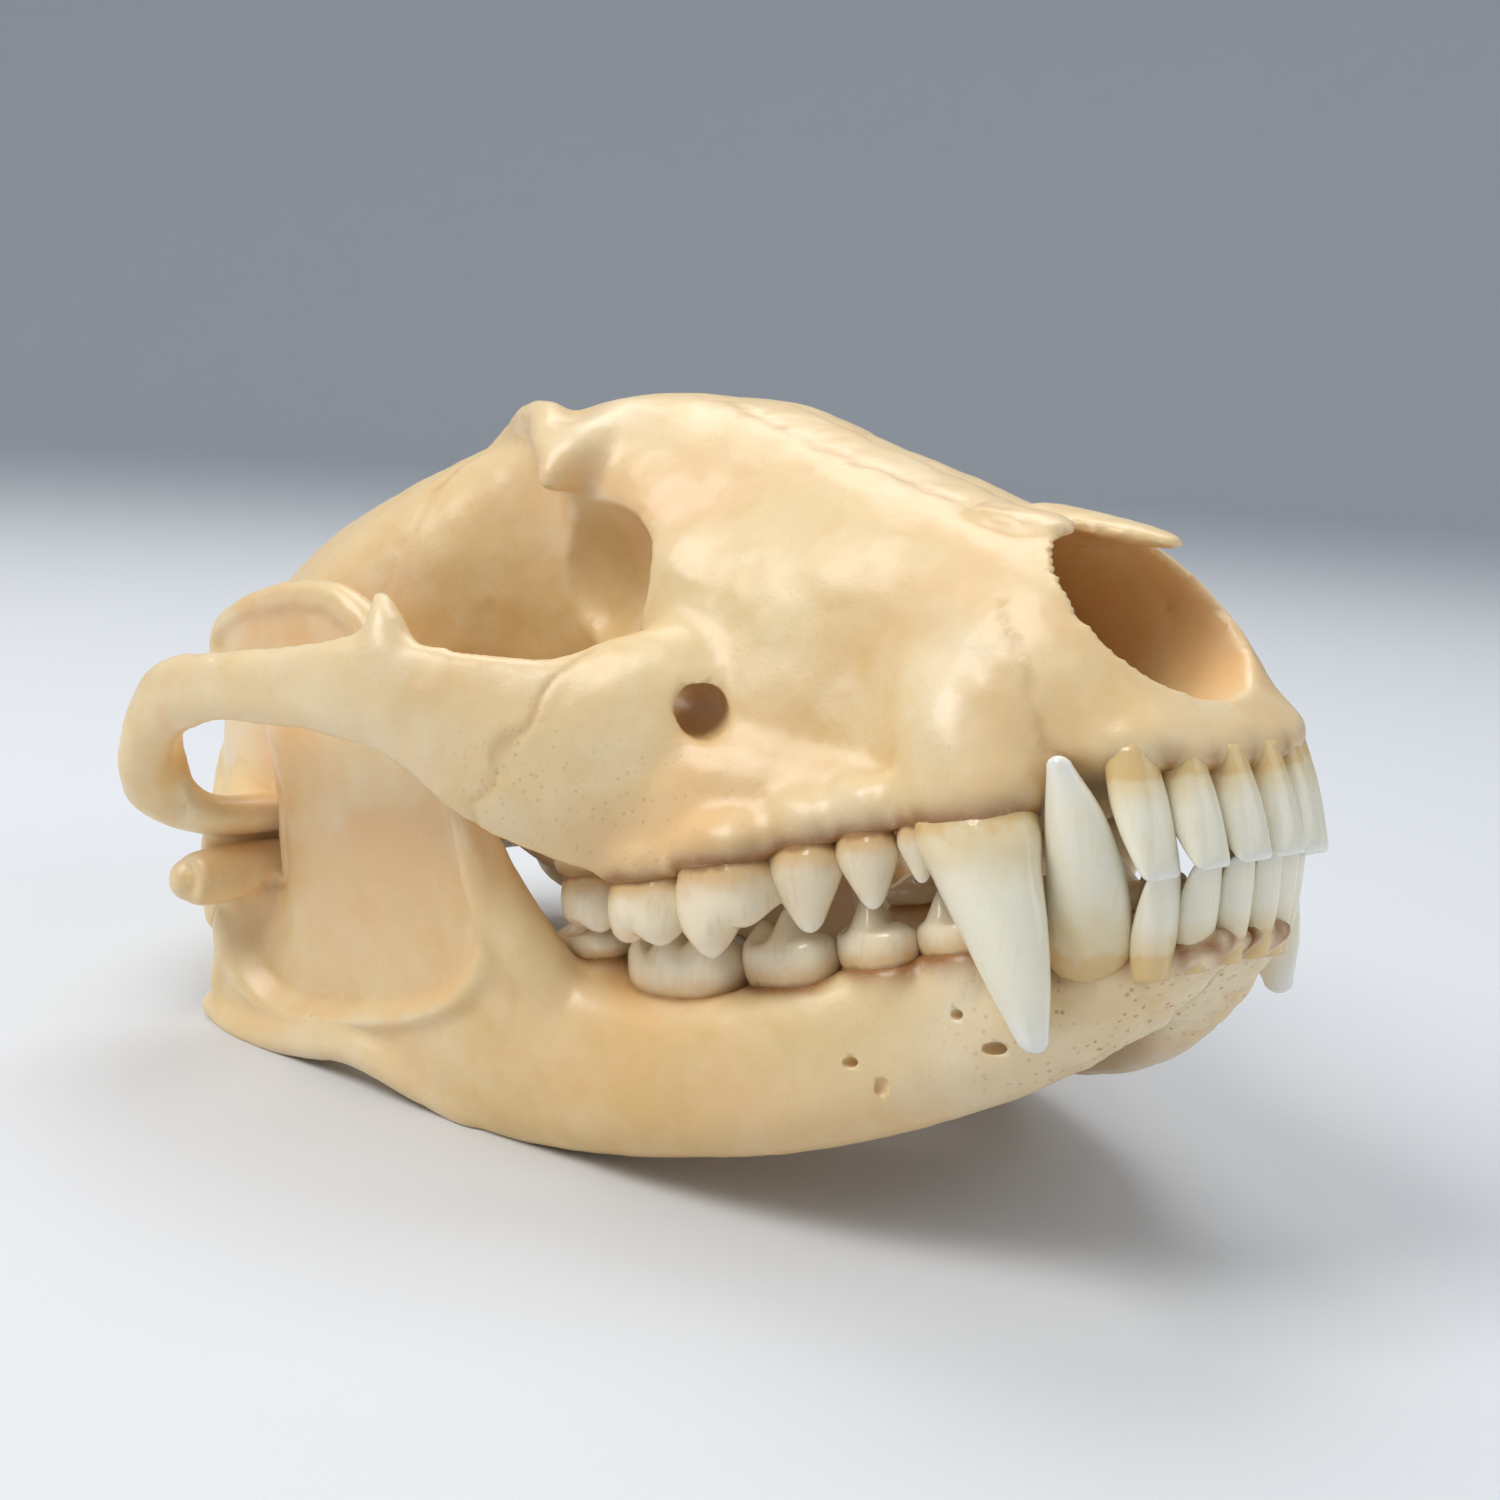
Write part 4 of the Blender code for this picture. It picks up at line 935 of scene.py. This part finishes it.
def finish_bone(piece, look, feet, seam_lines):
    """Paints the masks that the bone material reads, gives the piece that material and ties it to the skull."""
    places, normals, edges = mesh_arrays(piece)
    stands = convexity(places, normals, edges)
    x, y, z = places.T
    # Deep inside the nose: painted shade, warmer and darker there, and darkest past x 96.
    inside = ease(1 - np.hypot(y / 8.6, (z - 10.6) / 8.2), 0.0, 0.25) * ease(108 - x, 0, 14) * ease(x, 80, 84)
    # Just inside the braincase: painted shade, golden and dark.
    brain_gap = (places - BRAIN[:3]) / (np.array(BRAIN[3:]) + 0.4)
    brain = ease(1.03 - np.linalg.norm(brain_gap, axis=1), 0, 0.03)
    masks = {
        # Peach, golden and the dark-brown mask rise in hollows, which is painted shade, on top of their real spots;
        # pale rises on ridges and is kept out of the nose.
        "peach": spots(places, PEACH_SPOTS) + 0.25 - stands * 0.5 + inside * 0.6,
        "golden": spots(places, GOLDEN_SPOTS) + np.clip(-stands, 0, 1) * 0.8 + inside * 0.5 + brain * 0.6,
        "pale": spots(places, PALE_SPOTS) + np.clip(stands, 0, 1) * 0.6 - inside,
        "shade_and_pores": np.clip(-stands * 0.9 - 0.25, 0, 1) + inside * ease(96 - x, 0, 10) * 0.5 + brain * 0.4,
        "porous": spots(places, POROUS_SPOTS),
        "seam": seams(places, normals, seam_lines) * ease(noise(places, 3.0, 51, 2), -0.5, 0.2),
        "stain": socket_stain(places, feet),
    }
    for name, values in masks.items():
        paint(piece, name, values)
    piece.data.shade_smooth()
    piece.data.materials.clear()
    piece.data.materials.append(bpy.data.materials.get("old_bone") or bone_material(look))
    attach(piece, "root")


def cranium_push(places, normals):
    """Broad unevenness, the muscle-worn sides, and the swellings over the roots."""
    rough = 0.12 * noise(places, 6.0, 3, 2) + 0.06 * noise(places, 1.8, 9, 3)
    return rough + spots(places, BULGES) - 0.10 * seams(places, normals, CRANIUM_SEAMS)


def jaw_push(places, normals):
    """Broad unevenness, the rough chin, and the hollow for the chewing muscle, whose edge is a cubic oval."""
    x, y, z = places.T
    rough = 0.08 * noise(places, 5.0, 21, 2) + 0.04 * noise(places, 1.8, 29, 2)
    chin = spots(places, POROUS_SPOTS[:2]) * 0.2 * noise(places, 1.3, 33, 3)
    side = np.where(y < 0, RIGHT, LEFT)
    outward = ease(normals[:, 1] * side, 0.2, 0.7)
    aside = np.abs(x - MUSCLE_MIDDLE) / MUSCLE_REACH
    below = np.maximum(MUSCLE_LEVEL - z, 0) / MUSCLE_DEPTH
    reach = np.cbrt(aside**3 + below**3)
    hollow = ease(1.0 - reach, 0.0, 0.16) * ease(14.0 - z, 0.0, 8.0)
    rim = np.exp(-(((reach - 1.04) / 0.07) ** 2)) * ease(8.0 - z, 0.0, 5.0)
    return rough + chin + outward * (0.6 * rim - 1.1 * hollow)


class SKULL_OT_cranium(bpy.types.Operator):
    """Makes the braincase, face and cheek arches as one bone surface"""

    bl_idname = "skull.cranium"
    bl_label = "Cranium"

    def execute(self, context):
        look = context.scene.skull_look
        solids = [case_body()]
        solids += both(*map(oval_bar, (CHEEK_ROOT, TOOTH_BED, PTERYGOID_PLATE)), leaning_bar(CANINE_SOCKET))
        ridges = (CHEEK_PRONG, BROW_PRONG, MASTOID, JUGULAR_PRONG, NAPE_CREST, TEMPLE_RIDGE)
        solids += both(*map(round_bar, ridges))
        solids += both(*(lump(*shape) for shape in (EAR_BUBBLE, EAR_TUBE, NECK_KNOB, JAW_STOP)))
        feet = tooth_feet(UPPER_CANINE, UPPER_CANINE_GUM, UPPER_INCISORS, UPPER_CHEEK_TEETH)
        solids += both(*collars(feet[:-FRONT_TEETH], -1))
        piece = make_piece("cranium_bone", solids)
        fuse(piece, look.voxel, look.softening)
        hollows = [lump(*BRAIN), lump(*BRAIN_FRONT), round_bar(SPINE_HOLE)]
        hollows += [oval_bar(NOSE_HOLLOW), round_bar(THROAT_HOLLOW)]
        hollows += both(round_bar(CHEEK_CANAL), round_bar(EAR_HOLE), lump(*ORBIT))
        hollows += both(*(lump(*shape) for shape in FACE_HOLES))
        cut(piece, hollows)
        join(piece, [oval_bar(NASAL_TIP_LEFT), oval_bar(NASAL_TIP_RIGHT)])
        fuse(piece, look.voxel * SECOND_GRID, SECOND_SOFTENING)
        keep_largest(piece)
        push(piece, cranium_push)
        thin(piece, MOST_TRIANGLES)
        finish_bone(piece, look, feet, CRANIUM_SEAMS)
        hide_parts("cranium", "zygomatic_arch_right", "zygomatic_arch_left")
        return {"FINISHED"}


class SKULL_OT_mandible(bpy.types.Operator):
    """Makes both halves of the lower jaw"""

    bl_idname = "skull.mandible"
    bl_label = "Lower jaw"

    def execute(self, context):
        look = context.scene.skull_look
        feet = tooth_feet(LOWER_CANINE, LOWER_CANINE_GUM, LOWER_INCISORS, LOWER_CHEEK_TEETH)
        for label, side in (("right", RIGHT), ("left", LEFT)):
            ridges = map(round_bar, (CORONOID_EDGE, JAW_ANGLE, CONDYLE, CONDYLE_NECK))
            solids = [jaw_body(), jaw_plate(), lump(*CORONOID_TIP), *ridges, *collars(feet[:-FRONT_TEETH], 1)]
            piece = make_piece("mandible_bone_" + label, on_side(side, *solids))
            fuse(piece, look.voxel * JAW_GRID, look.softening)
            push(piece, jaw_push)
            holes = (lump(*shape) for shape in CHIN_HOLES)
            cut(piece, on_side(side, box((90, -MIDLINE_GAP, -30), (120, 20, 10)), *holes))
            cut_floor(piece)
            keep_largest(piece)
            finish_bone(piece, look, feet, ())
            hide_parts("mandible_" + label)
        return {"FINISHED"}


def cut_floor(piece):
    """Every vertex below the floor is lifted to it."""
    places = to_world(mesh_arrays(piece)[0])
    places[:, 2] = np.maximum(places[:, 2], 0.0)
    move_vertices(piece, places)


def finish_teeth(name, groups, material):
    """One object of separate teeth.  Each group is a list of solids with the levels of its gum and its tip."""
    solids = [solid for members, gum, tip in groups for solid in members]
    rises = []
    for members, gum, tip in groups:
        rises += [(points[:, 2] - gum) / (tip - gum) for points, faces in members]
    piece = make_piece(name, solids)
    paint(piece, "rise", np.concatenate(rises))
    piece.data.shade_smooth()
    piece.data.materials.append(material)
    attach(piece, "root")


def tooth_groups(rows, sign):
    """The cheek teeth of both sides with their gum and tip levels."""
    groups = []
    for row in rows:
        x, y, z, half_length, half_width, cusps = row
        tip = max((cusp[2] for cusp in cusps), key=lambda level: abs(level - z))
        groups.append((both(peg(row) if len(cusps) == 1 else crown(row, sign)), z, tip))
    return groups


class SKULL_OT_teeth(bpy.types.Operator):
    """Makes the canines, the incisors and the cheek teeth"""

    bl_idname = "skull.teeth"
    bl_label = "Teeth"

    def execute(self, context):
        look = context.scene.skull_look
        enamel = enamel_material(look, "enamel", "enamel", look.golden)
        molar = enamel_material(look, "molar_enamel", "molar", look.stain)
        finish_teeth("upper_canines", [(both(fang(UPPER_CANINE)), UPPER_CANINE_GUM, UPPER_CANINE[-1][2])], enamel)
        finish_teeth("lower_canines", [(both(fang(LOWER_CANINE)), LOWER_CANINE_GUM, LOWER_CANINE[-1][2])], enamel)
        for name, rows in (("upper_incisors", UPPER_INCISORS), ("lower_incisors", LOWER_INCISORS)):
            finish_teeth(name, [(both(incisor(row)), row[2], row[5]) for row in rows], enamel)
        finish_teeth("upper_cheek_teeth", tooth_groups(UPPER_CHEEK_TEETH, -1), molar)
        finish_teeth("lower_cheek_teeth", tooth_groups(LOWER_CHEEK_TEETH, 1), molar)
        return {"FINISHED"}


class SKULL_OT_stage(bpy.types.Operator):
    """Makes the floor, the lights and the camera"""

    bl_idname = "skull.stage"
    bl_label = "Stage"

    def execute(self, context):
        look = context.scene.skull_look
        floor_piece(look)
        add_lights(context.scene)
        add_camera(context.scene)
        return {"FINISHED"}


def floor_piece(look):
    """A wide shallow bowl: level round the skull, then a quarter circle, then upright, turned about the Z axis."""
    bend = np.linspace(0, math.pi / 2, 24)
    rim = FLOOR_FLAT + FLOOR_CURVE
    out = np.concatenate([[0.01, 0.3], FLOOR_FLAT + FLOOR_CURVE * np.sin(bend), [rim]])[:, None]
    rise = np.concatenate([[0.0, 0.0], FLOOR_CURVE * (1 - np.cos(bend)), [FLOOR_WALL]])[:, None]
    turn = full_turn(96)
    points = np.stack([out * np.cos(turn), out * np.sin(turn), rise + 0 * turn], axis=2)
    index = np.arange(points[..., 0].size).reshape(points.shape[:2])
    inner, outer = index[:-1], index[1:]
    faces = np.stack([inner, outer, np.roll(outer, -1, axis=1), np.roll(inner, -1, axis=1)], axis=2).reshape(-1, 4)
    floor = add_mesh("floor", points.reshape(-1, 3), [index[0].tolist(), *faces.tolist()])
    floor.data.shade_smooth()
    floor.data.materials.append(floor_material(look))


def add_lights(scene):
    """A large soft key from the upper left of the camera, a fill from its right, and an even sky."""
    world = bpy.data.worlds.new("studio")
    world.use_nodes = True
    sky = world.node_tree.nodes["Background"]
    sky.inputs["Color"].default_value = (0.86, 0.93, 1.0, 1.0)
    sky.inputs["Strength"].default_value = SKY_STRENGTH
    scene.world = world
    scene.view_settings.view_transform = "Standard"
    axes = np.array(CAMERA_AXES) @ TURN.T
    target = Vector((0.0, 0.0, 0.03))
    for name, way, size, power, colour in LIGHTS:
        lamp = bpy.data.lights.new(name, "AREA")
        lamp.size = size
        lamp.energy = power
        lamp.color = colour
        holder = bpy.data.objects.new(name, lamp)
        holder.location = target + Vector(np.array(way) @ axes * LIGHT_REACH)
        holder.rotation_euler = (target - holder.location).to_track_quat("-Z", "Y").to_euler()
        scene.collection.objects.link(holder)


def add_camera(scene):
    """The camera that was fitted to the photograph."""
    data = bpy.data.cameras.new("camera")
    data.lens = CAMERA_LENS
    data.sensor_width = 36.0
    data.clip_start = 0.01
    camera = bpy.data.objects.new("camera", data)
    turned = Matrix((TURN @ np.array(CAMERA_AXES).T).tolist()).to_4x4()
    camera.matrix_world = Matrix.Translation(to_world(CAMERA_PLACE)) @ turned
    scene.collection.objects.link(camera)
    scene.camera = camera


class SKULL_PT_panel(bpy.types.Panel):
    """Lists the makers of the skull and its colours"""

    bl_label = "Raccoon skull"
    bl_idname = "SKULL_PT_panel"
    bl_space_type = "VIEW_3D"
    bl_region_type = "UI"
    bl_category = "Skull"

    def draw(self, context):
        for operator in OPERATORS:
            self.layout.operator(operator.bl_idname)
        for name in SkullLook.__annotations__:
            self.layout.prop(context.scene.skull_look, name)


OPERATORS = (SKULL_OT_cranium, SKULL_OT_mandible, SKULL_OT_teeth, SKULL_OT_stage)
CLASSES = (SkullLook, *OPERATORS, SKULL_PT_panel)


def register():
    for kind in CLASSES:
        bpy.utils.register_class(kind)
    bpy.types.Scene.skull_look = bpy.props.PointerProperty(type=SkullLook)


def unregister():
    del bpy.types.Scene.skull_look
    for kind in reversed(CLASSES):
        bpy.utils.unregister_class(kind)


def main():
    register()
    bpy.ops.skull.cranium()
    bpy.ops.skull.mandible()
    bpy.ops.skull.teeth()
    bpy.ops.skull.stage()


if __name__ == "__main__":
    main()
